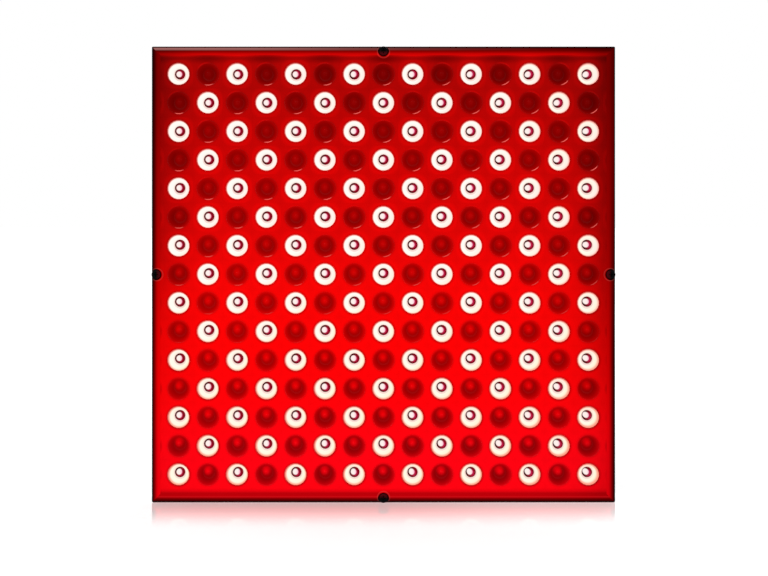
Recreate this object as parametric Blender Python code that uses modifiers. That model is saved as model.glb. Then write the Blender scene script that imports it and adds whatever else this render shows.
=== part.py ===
"""Red light therapy panel: 15 by 15 LED cups in a rimmed front plate, over a slim housing with its driver.

Metres, +Z up. The panel stands on its bottom edge and its LEDs face -Y. The origin is under the middle of
the panel, on the surface that it stands on. Depths are measured backwards, along +Y, from the rim's crest.
"""

import math

import bmesh
import bpy
from mathutils import Matrix, Vector

# General
PANEL_WIDTH = 0.310
PANEL_HEIGHT = 0.305
SEAT_GAP = 0.0003
OVERRUN = 0.002
WELD = 0.00001
ROD_SIDES = 8
SCREW_STEPS = 8

# Front plate
FLANGE_INSET = 0.0009
FLANGE_THICKNESS = 0.0030
BEVEL_WIDTH = 0.0018
BEVEL_HEIGHT = 0.0020
CREST_WIDTH = 0.0015
SLOPE_WIDTH = 0.0014
RIM_HEIGHT = 0.0040
SCREW_SEAT_THICKNESS = 0.0013
SCREW_INSET = 0.0033
SCREW_RECESS_RADIUS = 0.0036
SCREW_PAD_RADIUS = 0.0047
POCKET_SINK = 0.0002

# Reflector cups
COLUMNS = 15
ROWS = 15
EDGE_TO_COLUMN = 0.0178
EDGE_TO_ROW = 0.01838
CUP_DEPTH = 0.0068
CUP_MOUTH_RADIUS = 0.0073
CUP_BORE_RADIUS = 0.0037
CUP_SIDES = 8

# LED strips
LED_RADIUS = 0.0029
LED_SHOULDER = 0.0022
LED_HEIGHT = 0.0046
LED_SIDES = 6
STRIP_SPACING = 0.00716
STRIP_THICKNESS = 0.0016
STRIP_END = 0.008

# Heat spreader and the sheet behind it
SPREADER_MARGIN = 0.008
SPREADER_THICKNESS = 0.0015
SHEET_THICKNESS = 0.0004
SHEET_BORDER = 0.004

# Housing
HOUSING_WALL = 0.002
HOUSING_EDGE_ROUND = 0.002
HOUSING_ROUND_STEPS = 2
REAR_SPACE = 0.0092
PLATEAU_RISE = 0.005
PLATEAU_SLOPE = 0.004
POST_RADIUS = 0.0035
POST_INSET = 0.015
POST_ROW_SHARES = (-6.5, 0.5, 6.5)
VENT_COUNT = 15
VENT_PITCH = 0.010
VENT_WIDTH = 0.003
VENT_HEIGHT = 0.028
VENT_CLEARANCE = 0.015

# Screws: radius and length of the shank, radius and height of the head
FRONT_SCREW = (0.0013, 0.010, 0.0032, 0.0013)
HANGER_SCREW = (0.0013, 0.0075, 0.0030, 0.0016)
SPREADER_SCREW = (0.0012, 0.0078, 0.00275, 0.0013)
SCREW_CROWN_SHARE = 0.7
SCREW_EDGE_SHARE = 0.6
SCREW_BOSS_RADIUS = 0.0030
SCREW_BOSS_DEPTH = 0.011
HANGER_BOSS_RADIUS = 0.0035
HANGER_BOSS_LENGTH = 0.005

# Hangers
HANGER_SIDE_INSET = 0.037
HANGER_END_INSET = 0.0405
HANGER_PLATE_WIDTH = 0.012
HANGER_PLATE_HEIGHT = 0.018
HANGER_PLATE_THICKNESS = 0.0012
HANGER_SCREW_RISE = 0.010
BARREL_RADIUS = 0.0026
RING_WIRE_RADIUS = 0.00125
RING_WIDTH = 0.018
RING_DROP = 0.015
RING_STEPS = 10

# Driver board, with the room round it in the raised middle of the back
BOARD_WIDTH = 0.112
BOARD_HEIGHT = 0.070
BOARD_THICKNESS = 0.0016
BOARD_SIDE_ROOM = 0.011
BOARD_END_ROOM = 0.020
SOCKET_ROOM = 0.047
STANDOFF_HEIGHT = 0.002
STANDOFF_RADIUS = 0.0025
STANDOFF_INSET = 0.004
PEG_RADIUS = 0.0012
PEG_REACH = 0.0008
COMPONENT_HEIGHT = 0.0085
CAPACITOR_RADIUS = 0.0042
FUSE_RADIUS = 0.0025
CHOKE_RADIUS = 0.0052
CHOKE_WIRE_RADIUS = 0.0019
CHOKE_STEPS = 12
CHOKE_SIDES = 6
FIN_COUNT = 5
FIN_THICKNESS = 0.0012
FIN_BASE = 0.002
TERMINAL_HEIGHT = 0.008
TERMINAL_SHORT = 0.008
TERMINAL_LONG = 0.014
TRANSFORMER_WIDTH = 0.024
TRANSFORMER_HEIGHT = 0.020
TRANSFORMER_STEP = 0.0015
HEATSINK_WIDTH = 0.026
HEATSINK_DEPTH = 0.010
INPUT_CAN_LENGTH = 0.024
OUTPUT_CAN_LENGTH = 0.020
FUSE_LENGTH = 0.018

# Places on the driver board, as shares of its width and height from its middle
TRANSFORMER_SHARES = (-0.134, 0.057)
HEATSINK_SHARES = (0.232, -0.314)
INPUT_CAN_SHARES = (0.089, 0.086)
OUTPUT_CAN_SHARES = (-0.339, 0.114)
CHOKE_SHARES = (0.259, 0.057)
FUSE_SHARES = (0.286, 0.371)
INPUT_TERMINAL_SHARES = (0.4375, 0.214)
OUTPUT_TERMINAL_SHARES = (-0.018, -0.4286)

# Mains inlet and switch, side by side on the plateau
SOCKET_INSET = 0.025
INLET_DROP = 0.022
SWITCH_RISE = 0.020
BEZEL_THICKNESS = 0.0012
INLET_FLANGE = (0.026, 0.015)
INLET_BODY = (0.020, 0.0115)
INLET_CAVITY = (0.0166, 0.0082)
INLET_CAVITY_DEPTH = 0.0115
INLET_FLOOR = 0.0015
INLET_ROUND_STEPS = 4
PIN_RADIUS = 0.0012
PIN_SPACING = 0.0086
PIN_SETBACK = 0.0025
PIN_TAIL = 0.003
SWITCH_BEZEL = (0.015, 0.021)
SWITCH_BODY = (0.0129, 0.0188)
SWITCH_FLOOR = 0.0015
BLADE_WIDTH = 0.0048
BLADE_THICKNESS = 0.0008
BLADE_LENGTH = 0.005
BLADE_OFFSET = 0.005
ROCKER_RADIUS = 0.0075
ROCKER_WIDTH = 0.0094
ROCKER_END = 0.0056
ROCKER_MIDDLE = 0.0045
ROCKER_BASE = 0.0025
ROCKER_ARC_STEPS = 4
ROCKER_THROW = math.radians(14)
PIVOT_SINK = 0.0046
TRUNNION_RADIUS = 0.0010
TRUNNION_REACH = 0.0010

# Wires
MAINS_WIRE_RADIUS = 0.0008
LED_WIRE_RADIUS = 0.0007
WIRE_POINTS_PER_SPAN = 3
WIRE_RESOLUTION = 2
WIRE_LEAD = 0.003
WIRE_BOW = 0.009
LED_WIRE_BEHIND = 0.003
LED_WIRE_WRAP = 0.003
LED_WIRE_CLEAR = 0.001
LED_WIRE_REACH = 0.004

# Sizes that follow from the ones above
COLUMN_PITCH = (PANEL_WIDTH - 2 * EDGE_TO_COLUMN) / (COLUMNS - 1)
ROW_PITCH = (PANEL_HEIGHT - 2 * EDGE_TO_ROW) / (ROWS - 1)
STRIP_WIDTH = ROW_PITCH - STRIP_SPACING
STRIP_LENGTH = (COLUMNS - 1) * COLUMN_PITCH + 2 * STRIP_END
POST_COLUMN_X = PANEL_WIDTH / 2 - POST_INSET
HANGER_X = PANEL_WIDTH / 2 - HANGER_SIDE_INSET
HANGER_SCREW_OFFSET = PANEL_HEIGHT / 2 - HANGER_END_INSET
PLATEAU_WIDTH = BOARD_SIDE_ROOM + BOARD_WIDTH + SOCKET_ROOM
PLATEAU_HEIGHT = BOARD_HEIGHT + 2 * BOARD_END_ROOM
BOARD_X = BOARD_SIDE_ROOM + BOARD_WIDTH / 2 - PLATEAU_WIDTH / 2
VENT_OFFSET = PLATEAU_HEIGHT / 2 + VENT_CLEARANCE + VENT_HEIGHT / 2
INLET_PLACE = (PLATEAU_WIDTH / 2 - SOCKET_INSET, -INLET_DROP)
SWITCH_PLACE = (PLATEAU_WIDTH / 2 - SOCKET_INSET, SWITCH_RISE)

# Depths behind the rim's crest
PLATE_BACK = RIM_HEIGHT + CUP_DEPTH
STRIP_FRONT = PLATE_BACK + SEAT_GAP
STRIP_BACK = STRIP_FRONT + STRIP_THICKNESS
SPREADER_FRONT = STRIP_BACK + SEAT_GAP
SPREADER_BACK = SPREADER_FRONT + SPREADER_THICKNESS
POST_TIP = SPREADER_BACK + SEAT_GAP
HOUSING_FRONT = FLANGE_THICKNESS + SEAT_GAP
HOUSING_INSIDE = POST_TIP + REAR_SPACE
HOUSING_BACK = HOUSING_INSIDE + HOUSING_WALL
PLATEAU_INSIDE = HOUSING_INSIDE + PLATEAU_RISE
PLATEAU_BACK = HOUSING_BACK + PLATEAU_RISE
STANDOFF_TIP = PLATEAU_INSIDE - STANDOFF_HEIGHT
BOARD_BACK = STANDOFF_TIP - SEAT_GAP
BOARD_FRONT = BOARD_BACK - BOARD_THICKNESS
COMPONENT_SEAT = BOARD_FRONT - SEAT_GAP
COMPONENT_TOP = COMPONENT_SEAT - COMPONENT_HEIGHT
COMPONENT_MIDDLE = (COMPONENT_TOP + COMPONENT_SEAT) / 2
TERMINAL_MIDDLE = COMPONENT_SEAT - TERMINAL_HEIGHT / 2
BEZEL_SEAT = PLATEAU_BACK + SEAT_GAP
BEZEL_FACE = BEZEL_SEAT + BEZEL_THICKNESS
INLET_BOTTOM = BEZEL_FACE - INLET_CAVITY_DEPTH - INLET_FLOOR
PIVOT_DEPTH = BEZEL_FACE - PIVOT_SINK
ROCKER_END_ANGLE = math.asin(ROCKER_END / ROCKER_RADIUS)
ROCKER_TILT = ROCKER_THROW / 2
ROCKER_PEAK = PIVOT_DEPTH + ROCKER_RADIUS * math.sin(ROCKER_END_ANGLE + ROCKER_TILT)
BARREL_DEPTH = HOUSING_BACK + SEAT_GAP + BARREL_RADIUS
CREST_Y = -max(ROCKER_PEAK, BARREL_DEPTH + BARREL_RADIUS) / 2
MID_Z = PANEL_HEIGHT / 2

# Directions and shading
FACING_FRONT = (math.pi / 2, 0, 0)
FACING_BACK = (-math.pi / 2, 0, 0)
ACROSS = (1, 0, 0)
UP = (0, 0, 1)
FORWARD = Vector((0, -1, 0))
BACKWARD = Vector((0, 1, 0))
SHARP_ANGLE = math.radians(35)


def at(x, depth, rise):
    """The point at this X, this depth behind the crest and this height over the panel's middle."""
    return Vector((x, CREST_Y + depth, MID_Z + rise))


def finish(name, colour, roughness, metallic=0.0):
    material = bpy.data.materials.new(name)
    material.diffuse_color = (*colour, 1)
    material.use_nodes = True
    shader = material.node_tree.nodes["Principled BSDF"]
    shader.inputs["Base Color"].default_value = (*colour, 1)
    shader.inputs["Roughness"].default_value = roughness
    shader.inputs["Metallic"].default_value = metallic
    return material


def start_scene():
    for old in list(bpy.data.objects):
        bpy.data.objects.remove(old)
    collections = []
    for name in ("red_light_panel", "cutters"):
        collection = bpy.data.collections.new(name)
        bpy.context.scene.collection.children.link(collection)
        collections.append(collection)
    return collections


PARTS, CUTTERS = start_scene()
RED_PLASTIC = finish("red_plastic", (0.62, 0.004, 0.006), 0.25)
BLACK_PLASTIC = finish("black_plastic", (0.012, 0.012, 0.013), 0.45)
WHITE_BOARD = finish("white_board", (0.75, 0.72, 0.68), 0.4)
GREEN_BOARD = finish("green_board", (0.02, 0.16, 0.06), 0.4)
ALUMINIUM = finish("aluminium", (0.72, 0.73, 0.75), 0.35, 1.0)
STEEL = finish("steel", (0.6, 0.6, 0.62), 0.25, 1.0)
BLACK_STEEL = finish("black_steel", (0.02, 0.02, 0.022), 0.3, 1.0)
BRASS = finish("brass", (0.75, 0.55, 0.22), 0.25, 1.0)
FERRITE = finish("ferrite", (0.05, 0.05, 0.055), 0.6)
CAN = finish("capacitor_sleeve", (0.03, 0.04, 0.12), 0.3)
COPPER = finish("copper", (0.7, 0.3, 0.15), 0.3, 1.0)
GLASS = finish("fuse_glass", (0.8, 0.82, 0.8), 0.1)
GREEN_TERMINAL = finish("terminal_block", (0.03, 0.3, 0.12), 0.45)
SHEET = finish("insulating_sheet", (0.8, 0.8, 0.76), 0.5)
BROWN_WIRE = finish("brown_wire", (0.16, 0.06, 0.02), 0.5)
BLUE_WIRE = finish("blue_wire", (0.02, 0.08, 0.4), 0.5)
RED_WIRE = finish("red_wire", (0.5, 0.02, 0.02), 0.5)
BLACK_WIRE = finish("black_wire", (0.02, 0.02, 0.02), 0.5)


def place(name, mesh, location, look=None):
    """Link a mesh as a part with this finish or, without one, as a cutter."""
    obj = bpy.data.objects.new(name, mesh)
    obj.location = location
    if look is None:
        CUTTERS.objects.link(obj)
        obj.hide_render = True
        obj.display_type = "WIRE"
    else:
        PARTS.objects.link(obj)
        mesh.materials.clear()
        mesh.materials.append(look)
    return obj


def mesh_from(bm, name):
    mesh = bpy.data.meshes.new(name)
    bm.to_mesh(mesh)
    bm.free()
    return mesh


def add_block(bm, size, centre):
    made = bmesh.ops.create_cube(bm, size=1)["verts"]
    bmesh.ops.scale(bm, vec=size, verts=made)
    bmesh.ops.translate(bm, vec=centre, verts=made)


def add_rod(bm, radius, start, end, sides=ROD_SIDES, end_radius=None):
    """Add a rod, or a cone with an end radius, from one point to another."""
    along = Vector(end) - Vector(start)
    turn = along.to_track_quat("Z", "Y").to_matrix().to_4x4()
    middle = Matrix.Translation((Vector(start) + Vector(end)) / 2)
    bmesh.ops.create_cone(
        bm,
        cap_ends=True,
        segments=sides,
        radius1=radius,
        radius2=radius if end_radius is None else end_radius,
        depth=along.length,
        matrix=middle @ turn,
    )


def slab(name, width, height, front, back, x, rise, look=None):
    """A block of this width (X) and height (Z) between two depths."""
    bm = bmesh.new()
    add_block(bm, (width, back - front, height), (0, 0, 0))
    return place(name, mesh_from(bm, name), at(x, (front + back) / 2, rise), look)


def rods(name, bars, look=None, sides=ROD_SIDES):
    """One mesh of rods, each given as a radius, a start point and an end point."""
    bm = bmesh.new()
    for radius, start, end in bars:
        add_rod(bm, radius, start, end, sides)
    return place(name, mesh_from(bm, name), (0, 0, 0), look)


def boolean(obj, other, operation):
    modifier = obj.modifiers.new(other.name, "BOOLEAN")
    modifier.operation = operation
    modifier.solver = "EXACT"
    modifier.object = other


def carve(obj, *cutters):
    for cutter in cutters:
        boolean(obj, cutter, "DIFFERENCE")


def join(obj, *others):
    for other in others:
        boolean(obj, other, "UNION")


def baked(obj):
    """Turn an object's modifiers into its mesh, so that copies can share it."""
    bpy.context.view_layer.update()
    graph = bpy.context.evaluated_depsgraph_get()
    mesh = bpy.data.meshes.new_from_object(obj.evaluated_get(graph))
    obj.modifiers.clear()
    obj.data = mesh
    return obj


def copies(first, names, offsets):
    """Objects that share the first one's mesh, each set off from it."""
    for name, offset in zip(names, offsets):
        twin = bpy.data.objects.new(name, first.data)
        twin.location = first.location + Vector(offset)
        twin.rotation_euler = first.rotation_euler
        PARTS.objects.link(twin)


def turned(name, profile, location, rotation, look=None, steps=SCREW_STEPS):
    """A profile of (radius, height) points, top to bottom, turned about its own Z axis."""
    mesh = bpy.data.meshes.new(name)
    mesh.from_pydata(
        [(radius, 0, height) for radius, height in profile],
        [(i, i + 1) for i in range(len(profile) - 1)],
        [],
    )
    obj = place(name, mesh, location, look)
    obj.rotation_euler = rotation
    screw = obj.modifiers.new("turn", "SCREW")
    screw.steps = screw.render_steps = steps
    screw.use_merge_vertices = True
    screw.merge_threshold = WELD
    return obj


def screw_part(name, sizes, seat, rotation):
    """A pan-head screw whose head sits on the seat point and whose shank runs down from it."""
    shank_radius, shank_length, head_radius, head_height = sizes
    profile = [
        (0, head_height),
        (head_radius * SCREW_CROWN_SHARE, head_height),
        (head_radius, head_height * SCREW_EDGE_SHARE),
        (head_radius, 0),
        (shank_radius, 0),
        (shank_radius, -shank_length),
        (0, -shank_length),
    ]
    turned(name, profile, seat, rotation, BLACK_STEEL)


def hole_radius(screw_sizes):
    return screw_sizes[0] + SEAT_GAP


def step_face(bm, face, inset, rise):
    """Inset a face, then lift what is left of it along its normal."""
    bmesh.ops.inset_region(bm, faces=[face], thickness=inset, use_even_offset=True)
    bmesh.ops.translate(bm, vec=face.normal * rise, verts=face.verts)


def face_towards(bm, direction):
    bm.normal_update()
    return max(bm.faces, key=lambda face: face.normal.dot(direction))


def row_rise(row):
    """Height over the panel's middle of a row, counted from the top."""
    return ((ROWS - 1) / 2 - row) * ROW_PITCH


def column_x(column):
    return (column - (COLUMNS - 1) / 2) * COLUMN_PITCH


def edge_screw_places():
    """X and rise of the four front screws, at the middle of each edge."""
    side = PANEL_WIDTH / 2 - SCREW_INSET
    end = PANEL_HEIGHT / 2 - SCREW_INSET
    return {"top": (0, end), "bottom": (0, -end), "left": (-side, 0), "right": (side, 0)}


def plate_blank():
    """The plate before it is cut: a flange with a bevelled front, and a thick middle inside the housing."""
    bm = bmesh.new()
    width = PANEL_WIDTH - 2 * FLANGE_INSET
    height = PANEL_HEIGHT - 2 * FLANGE_INSET
    edge = FLANGE_THICKNESS - BEVEL_HEIGHT
    add_block(bm, (width, edge, height), (0, BEVEL_HEIGHT + edge / 2, 0))
    step_face(bm, face_towards(bm, FORWARD), BEVEL_WIDTH, BEVEL_HEIGHT)
    back = face_towards(bm, BACKWARD)
    bmesh.ops.inset_region(
        bm, faces=[back], thickness=HOUSING_WALL + SEAT_GAP - FLANGE_INSET, use_even_offset=True
    )
    grown = bmesh.ops.extrude_discrete_faces(bm, faces=[back])["faces"][0]
    bmesh.ops.translate(bm, vec=(0, PLATE_BACK - FLANGE_THICKNESS, 0), verts=grown.verts)
    return place("front_panel", mesh_from(bm, "front_panel"), at(0, 0, 0), RED_PLASTIC)


def plate_recess():
    """Cutter for the sunk face inside the rim. A round pad is left standing round each screw."""
    bm = bmesh.new()
    inset = FLANGE_INSET + BEVEL_WIDTH + CREST_WIDTH
    size = (PANEL_WIDTH - 2 * inset, OVERRUN, PANEL_HEIGHT - 2 * inset)
    add_block(bm, size, (0, -OVERRUN / 2, 0))
    step_face(bm, face_towards(bm, BACKWARD), SLOPE_WIDTH, RIM_HEIGHT)
    recess = place("plate_recess", mesh_from(bm, "plate_recess"), at(0, 0, 0))
    pads = [
        (SCREW_PAD_RADIUS, at(x, -2 * OVERRUN, rise), at(x, RIM_HEIGHT + OVERRUN, rise))
        for x, rise in edge_screw_places().values()
    ]
    carve(recess, rods("screw_pads", pads))
    return recess


def cup_cones():
    """Cutter for the 225 cups: cones that taper from the mouth to the bore and run past both faces."""
    bm = bmesh.new()
    taper = (CUP_MOUTH_RADIUS - CUP_BORE_RADIUS) / CUP_DEPTH
    wide = CUP_MOUTH_RADIUS + taper * SEAT_GAP
    narrow = CUP_BORE_RADIUS - taper * OVERRUN
    for row in range(ROWS):
        for column in range(COLUMNS):
            x = column_x(column)
            rise = row_rise(row)
            start = at(x, RIM_HEIGHT - SEAT_GAP, rise)
            end = at(x, PLATE_BACK + OVERRUN, rise)
            add_rod(bm, wide, start, end, CUP_SIDES, narrow)
    return place("cup_cones", mesh_from(bm, "cup_cones"), (0, 0, 0))


def make_front_panel():
    panel = plate_blank()
    places = edge_screw_places().values()
    floor = FLANGE_THICKNESS - SCREW_SEAT_THICKNESS
    recesses = [(SCREW_RECESS_RADIUS, at(x, -OVERRUN, z), at(x, floor, z)) for x, z in places]
    shank = hole_radius(FRONT_SCREW)
    holes = [(shank, at(x, 0, z), at(x, FLANGE_THICKNESS + OVERRUN, z)) for x, z in places]
    pocket = SCREW_BOSS_RADIUS + SEAT_GAP
    pockets = [
        (pocket, at(x, FLANGE_THICKNESS - POCKET_SINK, z), at(x, PLATE_BACK + OVERRUN, z))
        for x, z in places
    ]
    carve(
        panel,
        plate_recess(),
        rods("screw_recesses", recesses),
        rods("plate_screw_holes", holes),
        rods("boss_pockets", pockets),
        cup_cones(),
    )


def make_front_screws():
    seat = FLANGE_THICKNESS - SCREW_SEAT_THICKNESS - SEAT_GAP
    for side, (x, rise) in edge_screw_places().items():
        screw_part(f"front_screw_{side}", FRONT_SCREW, at(x, seat, rise), FACING_FRONT)


def make_led_strips():
    """A board with a row of LEDs joined to it, copied down the rows."""
    top = row_rise(0)
    strip = slab("led_strip_01", STRIP_LENGTH, STRIP_WIDTH, STRIP_FRONT, STRIP_BACK, 0, top, WHITE_BOARD)
    sink = STRIP_THICKNESS / 2
    profile = [
        (0, LED_HEIGHT),
        (LED_RADIUS, LED_SHOULDER),
        (LED_RADIUS, -sink),
        (0, -sink),
    ]
    leds = turned("led_row", profile, at(column_x(0), STRIP_FRONT, top), FACING_FRONT, None, LED_SIDES)
    row = leds.modifiers.new("row", "ARRAY")
    row.count = COLUMNS
    row.use_relative_offset = False
    row.use_constant_offset = True
    row.constant_offset_displace = (COLUMN_PITCH, 0, 0)
    join(strip, leds)
    names = [f"led_strip_{row + 1:02d}" for row in range(1, ROWS)]
    offsets = [(0, 0, row_rise(row) - top) for row in range(1, ROWS)]
    copies(baked(strip), names, offsets)


def post_places():
    """X and rise of the posts that hold the heat spreader, between rows of LEDs."""
    spots = []
    for side in (-1, 1):
        spots += [(side * POST_COLUMN_X, share * ROW_PITCH) for share in POST_ROW_SHARES]
    ends = (POST_ROW_SHARES[0], POST_ROW_SHARES[-1])
    return spots + [(0, share * ROW_PITCH) for share in ends]


def spreader_screw_places():
    ends = (POST_ROW_SHARES[0] * ROW_PITCH, POST_ROW_SHARES[-1] * ROW_PITCH)
    return [(x, rise) for x, rise in post_places() if x and rise in ends]


def make_heat_spreader():
    width = PANEL_WIDTH - 2 * SPREADER_MARGIN
    height = PANEL_HEIGHT - 2 * SPREADER_MARGIN
    spreader = slab("heat_spreader", width, height, SPREADER_FRONT, SPREADER_BACK, 0, 0, ALUMINIUM)
    radius = hole_radius(SPREADER_SCREW)
    holes = [
        (radius, at(x, SPREADER_FRONT - OVERRUN, z), at(x, SPREADER_BACK + OVERRUN, z))
        for x, z in spreader_screw_places()
    ]
    carve(spreader, rods("spreader_holes", holes))
    for number, (x, rise) in enumerate(spreader_screw_places(), 1):
        seat = at(x, SPREADER_FRONT - SEAT_GAP, rise)
        screw_part(f"spreader_screw_{number}", SPREADER_SCREW, seat, FACING_FRONT)


def make_insulating_sheet():
    front = SPREADER_BACK + SEAT_GAP
    width = BOARD_WIDTH + 2 * SHEET_BORDER
    height = BOARD_HEIGHT + 2 * SHEET_BORDER
    slab("insulating_sheet", width, height, front, front + SHEET_THICKNESS, BOARD_X, 0, SHEET)


def housing_blank():
    """The tray's outer block, its back edges rounded."""
    bm = bmesh.new()
    depth = HOUSING_BACK - HOUSING_FRONT
    add_block(bm, (PANEL_WIDTH, depth, PANEL_HEIGHT), (0, HOUSING_FRONT + depth / 2, 0))
    back = face_towards(bm, BACKWARD)
    bmesh.ops.bevel(
        bm,
        geom=list(back.edges),
        offset=HOUSING_EDGE_ROUND,
        segments=HOUSING_ROUND_STEPS,
        profile=0.5,
        affect="EDGES",
    )
    return place("rear_housing", mesh_from(bm, "rear_housing"), at(0, 0, 0), BLACK_PLASTIC)


def plateau(name, shrink, start, end):
    """The raised middle of the back, or its hollow, with sloped sides that end at the given depth."""
    bm = bmesh.new()
    straight = end - PLATEAU_RISE
    size = (PLATEAU_WIDTH - 2 * shrink, straight - start, PLATEAU_HEIGHT - 2 * shrink)
    add_block(bm, size, (0, (start + straight) / 2, 0))
    step_face(bm, face_towards(bm, BACKWARD), PLATEAU_SLOPE, PLATEAU_RISE)
    return place(name, mesh_from(bm, name), at(0, 0, 0))


def hanger_screw_places():
    spots = {}
    for across, side in (("left", -1), ("right", 1)):
        for up, end in (("top", 1), ("bottom", -1)):
            spots[f"{up}_{across}"] = (side * HANGER_X, end * HANGER_SCREW_OFFSET)
    return spots


def standoff_places():
    side = BOARD_WIDTH / 2 - STANDOFF_INSET
    end = BOARD_HEIGHT / 2 - STANDOFF_INSET
    return [(BOARD_X + i * side, j * end) for i in (-1, 1) for j in (-1, 1)]


def housing_posts():
    root = HOUSING_INSIDE + HOUSING_WALL / 2
    bars = [(POST_RADIUS, at(x, POST_TIP, z), at(x, root, z)) for x, z in post_places()]
    for x, rise in edge_screw_places().values():
        bars.append((SCREW_BOSS_RADIUS, at(x, HOUSING_FRONT, rise), at(x, root, rise)))
    for x, rise in hanger_screw_places().values():
        tip = HOUSING_INSIDE - HANGER_BOSS_LENGTH
        bars.append((HANGER_BOSS_RADIUS, at(x, tip, rise), at(x, root, rise)))
    for x, rise in standoff_places():
        deep = PLATEAU_INSIDE + HOUSING_WALL / 2
        bars.append((STANDOFF_RADIUS, at(x, STANDOFF_TIP, rise), at(x, deep, rise)))
    return rods("housing_posts", bars)


def housing_pegs():
    """Pegs on the standoffs, which hold the driver board by its corner holes."""
    reach = BOARD_FRONT - PEG_REACH
    middle = (STANDOFF_TIP + PLATEAU_INSIDE) / 2
    bars = [(PEG_RADIUS, at(x, reach, z), at(x, middle, z)) for x, z in standoff_places()]
    return rods("housing_pegs", bars)


def housing_holes():
    """Screw holes: from the front in the edge bosses and the posts, from the back at the hangers."""
    bars = []
    for x, rise in edge_screw_places().values():
        end = HOUSING_FRONT + SCREW_BOSS_DEPTH
        bars.append((hole_radius(FRONT_SCREW), at(x, HOUSING_FRONT - OVERRUN, rise), at(x, end, rise)))
    for x, rise in spreader_screw_places():
        end = SPREADER_FRONT + SPREADER_SCREW[1] + SEAT_GAP
        bars.append((hole_radius(SPREADER_SCREW), at(x, POST_TIP - OVERRUN, rise), at(x, end, rise)))
    for x, rise in hanger_screw_places().values():
        end = hanger_seat() - HANGER_SCREW[1] - SEAT_GAP
        bars.append((hole_radius(HANGER_SCREW), at(x, end, rise), at(x, HOUSING_BACK + OVERRUN, rise)))
    return rods("housing_screw_holes", bars)


def hanger_seat():
    """Depth at which the hanger screws' heads sit."""
    return HOUSING_BACK + SEAT_GAP + HANGER_PLATE_THICKNESS + SEAT_GAP


def housing_openings():
    """Cutter for the inlet, the switch and the two rows of vent slots."""
    bm = bmesh.new()
    deep = 2 * OVERRUN + HOUSING_WALL
    for (x, rise), (width, height) in ((INLET_PLACE, INLET_BODY), (SWITCH_PLACE, SWITCH_BODY)):
        size = (width + 2 * SEAT_GAP, deep, height + 2 * SEAT_GAP)
        add_block(bm, size, at(x, PLATEAU_BACK - HOUSING_WALL / 2, rise))
    for slot in range(VENT_COUNT):
        x = (slot - (VENT_COUNT - 1) / 2) * VENT_PITCH
        for end in (-1, 1):
            middle = at(x, HOUSING_BACK - HOUSING_WALL / 2, end * VENT_OFFSET)
            add_block(bm, (VENT_WIDTH, deep, VENT_HEIGHT), middle)
    return place("housing_openings", mesh_from(bm, "housing_openings"), (0, 0, 0))


def make_rear_housing():
    housing = housing_blank()
    inner = HOUSING_WALL
    width = PANEL_WIDTH - 2 * inner
    height = PANEL_HEIGHT - 2 * inner
    cavity = slab("housing_cavity", width, height, HOUSING_FRONT - OVERRUN, HOUSING_INSIDE, 0, 0)
    join(housing, plateau("plateau", 0, HOUSING_INSIDE, PLATEAU_BACK))
    carve(housing, cavity, plateau("plateau_hollow", inner, HOUSING_INSIDE - OVERRUN, PLATEAU_INSIDE))
    join(housing, housing_posts(), housing_pegs())
    carve(housing, housing_holes(), housing_openings())


def on_board(shares):
    """X and rise of a place on the driver board."""
    across, up = shares
    return BOARD_X + across * BOARD_WIDTH, up * BOARD_HEIGHT


def make_driver_board():
    size = (BOARD_WIDTH, BOARD_HEIGHT)
    board = slab("driver_board", *size, BOARD_FRONT, BOARD_BACK, BOARD_X, 0, GREEN_BOARD)
    radius = PEG_RADIUS + SEAT_GAP
    holes = [
        (radius, at(x, BOARD_FRONT - OVERRUN, z), at(x, BOARD_BACK + OVERRUN, z))
        for x, z in standoff_places()
    ]
    carve(board, rods("board_holes", holes))


def lying_can(name, radius, length, spot, direction, look):
    """A round component that lies on the board, along X or Z."""
    x, rise = spot
    middle = at(x, COMPONENT_SEAT - radius, rise)
    half = Vector(direction) * (length / 2)
    bm = bmesh.new()
    add_rod(bm, radius, -half, half)
    return place(name, mesh_from(bm, name), middle, look)


def make_transformer():
    """Ferrite core with the winding that shows above, below and at its ends."""
    x, rise = on_board(TRANSFORMER_SHARES)
    width = TRANSFORMER_WIDTH
    height = TRANSFORMER_HEIGHT
    core = slab("transformer", width, height, COMPONENT_TOP, COMPONENT_SEAT, x, rise, FERRITE)
    width -= 2 * TRANSFORMER_STEP
    height += 2 * TRANSFORMER_STEP
    half = COMPONENT_HEIGHT / 2 - TRANSFORMER_STEP
    join(core, slab("winding", width, height, COMPONENT_MIDDLE - half, COMPONENT_MIDDLE + half, x, rise))


def make_heatsink():
    """Finned heatsink: a base on the board with upright fins."""
    x, rise = on_board(HEATSINK_SHARES)
    base_top = COMPONENT_SEAT - FIN_BASE
    size = (HEATSINK_WIDTH, HEATSINK_DEPTH)
    sink = slab("driver_heatsink", *size, base_top, COMPONENT_SEAT, x, rise, ALUMINIUM)
    bm = bmesh.new()
    spread = HEATSINK_WIDTH - FIN_THICKNESS
    fin_height = COMPONENT_HEIGHT - FIN_BASE / 2
    for fin in range(FIN_COUNT):
        fin_x = x + spread * (fin / (FIN_COUNT - 1) - 1 / 2)
        middle = at(fin_x, COMPONENT_TOP + fin_height / 2, rise)
        add_block(bm, (FIN_THICKNESS, fin_height, HEATSINK_DEPTH), middle)
    join(sink, place("heatsink_fins", mesh_from(bm, "heatsink_fins"), (0, 0, 0)))


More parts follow.
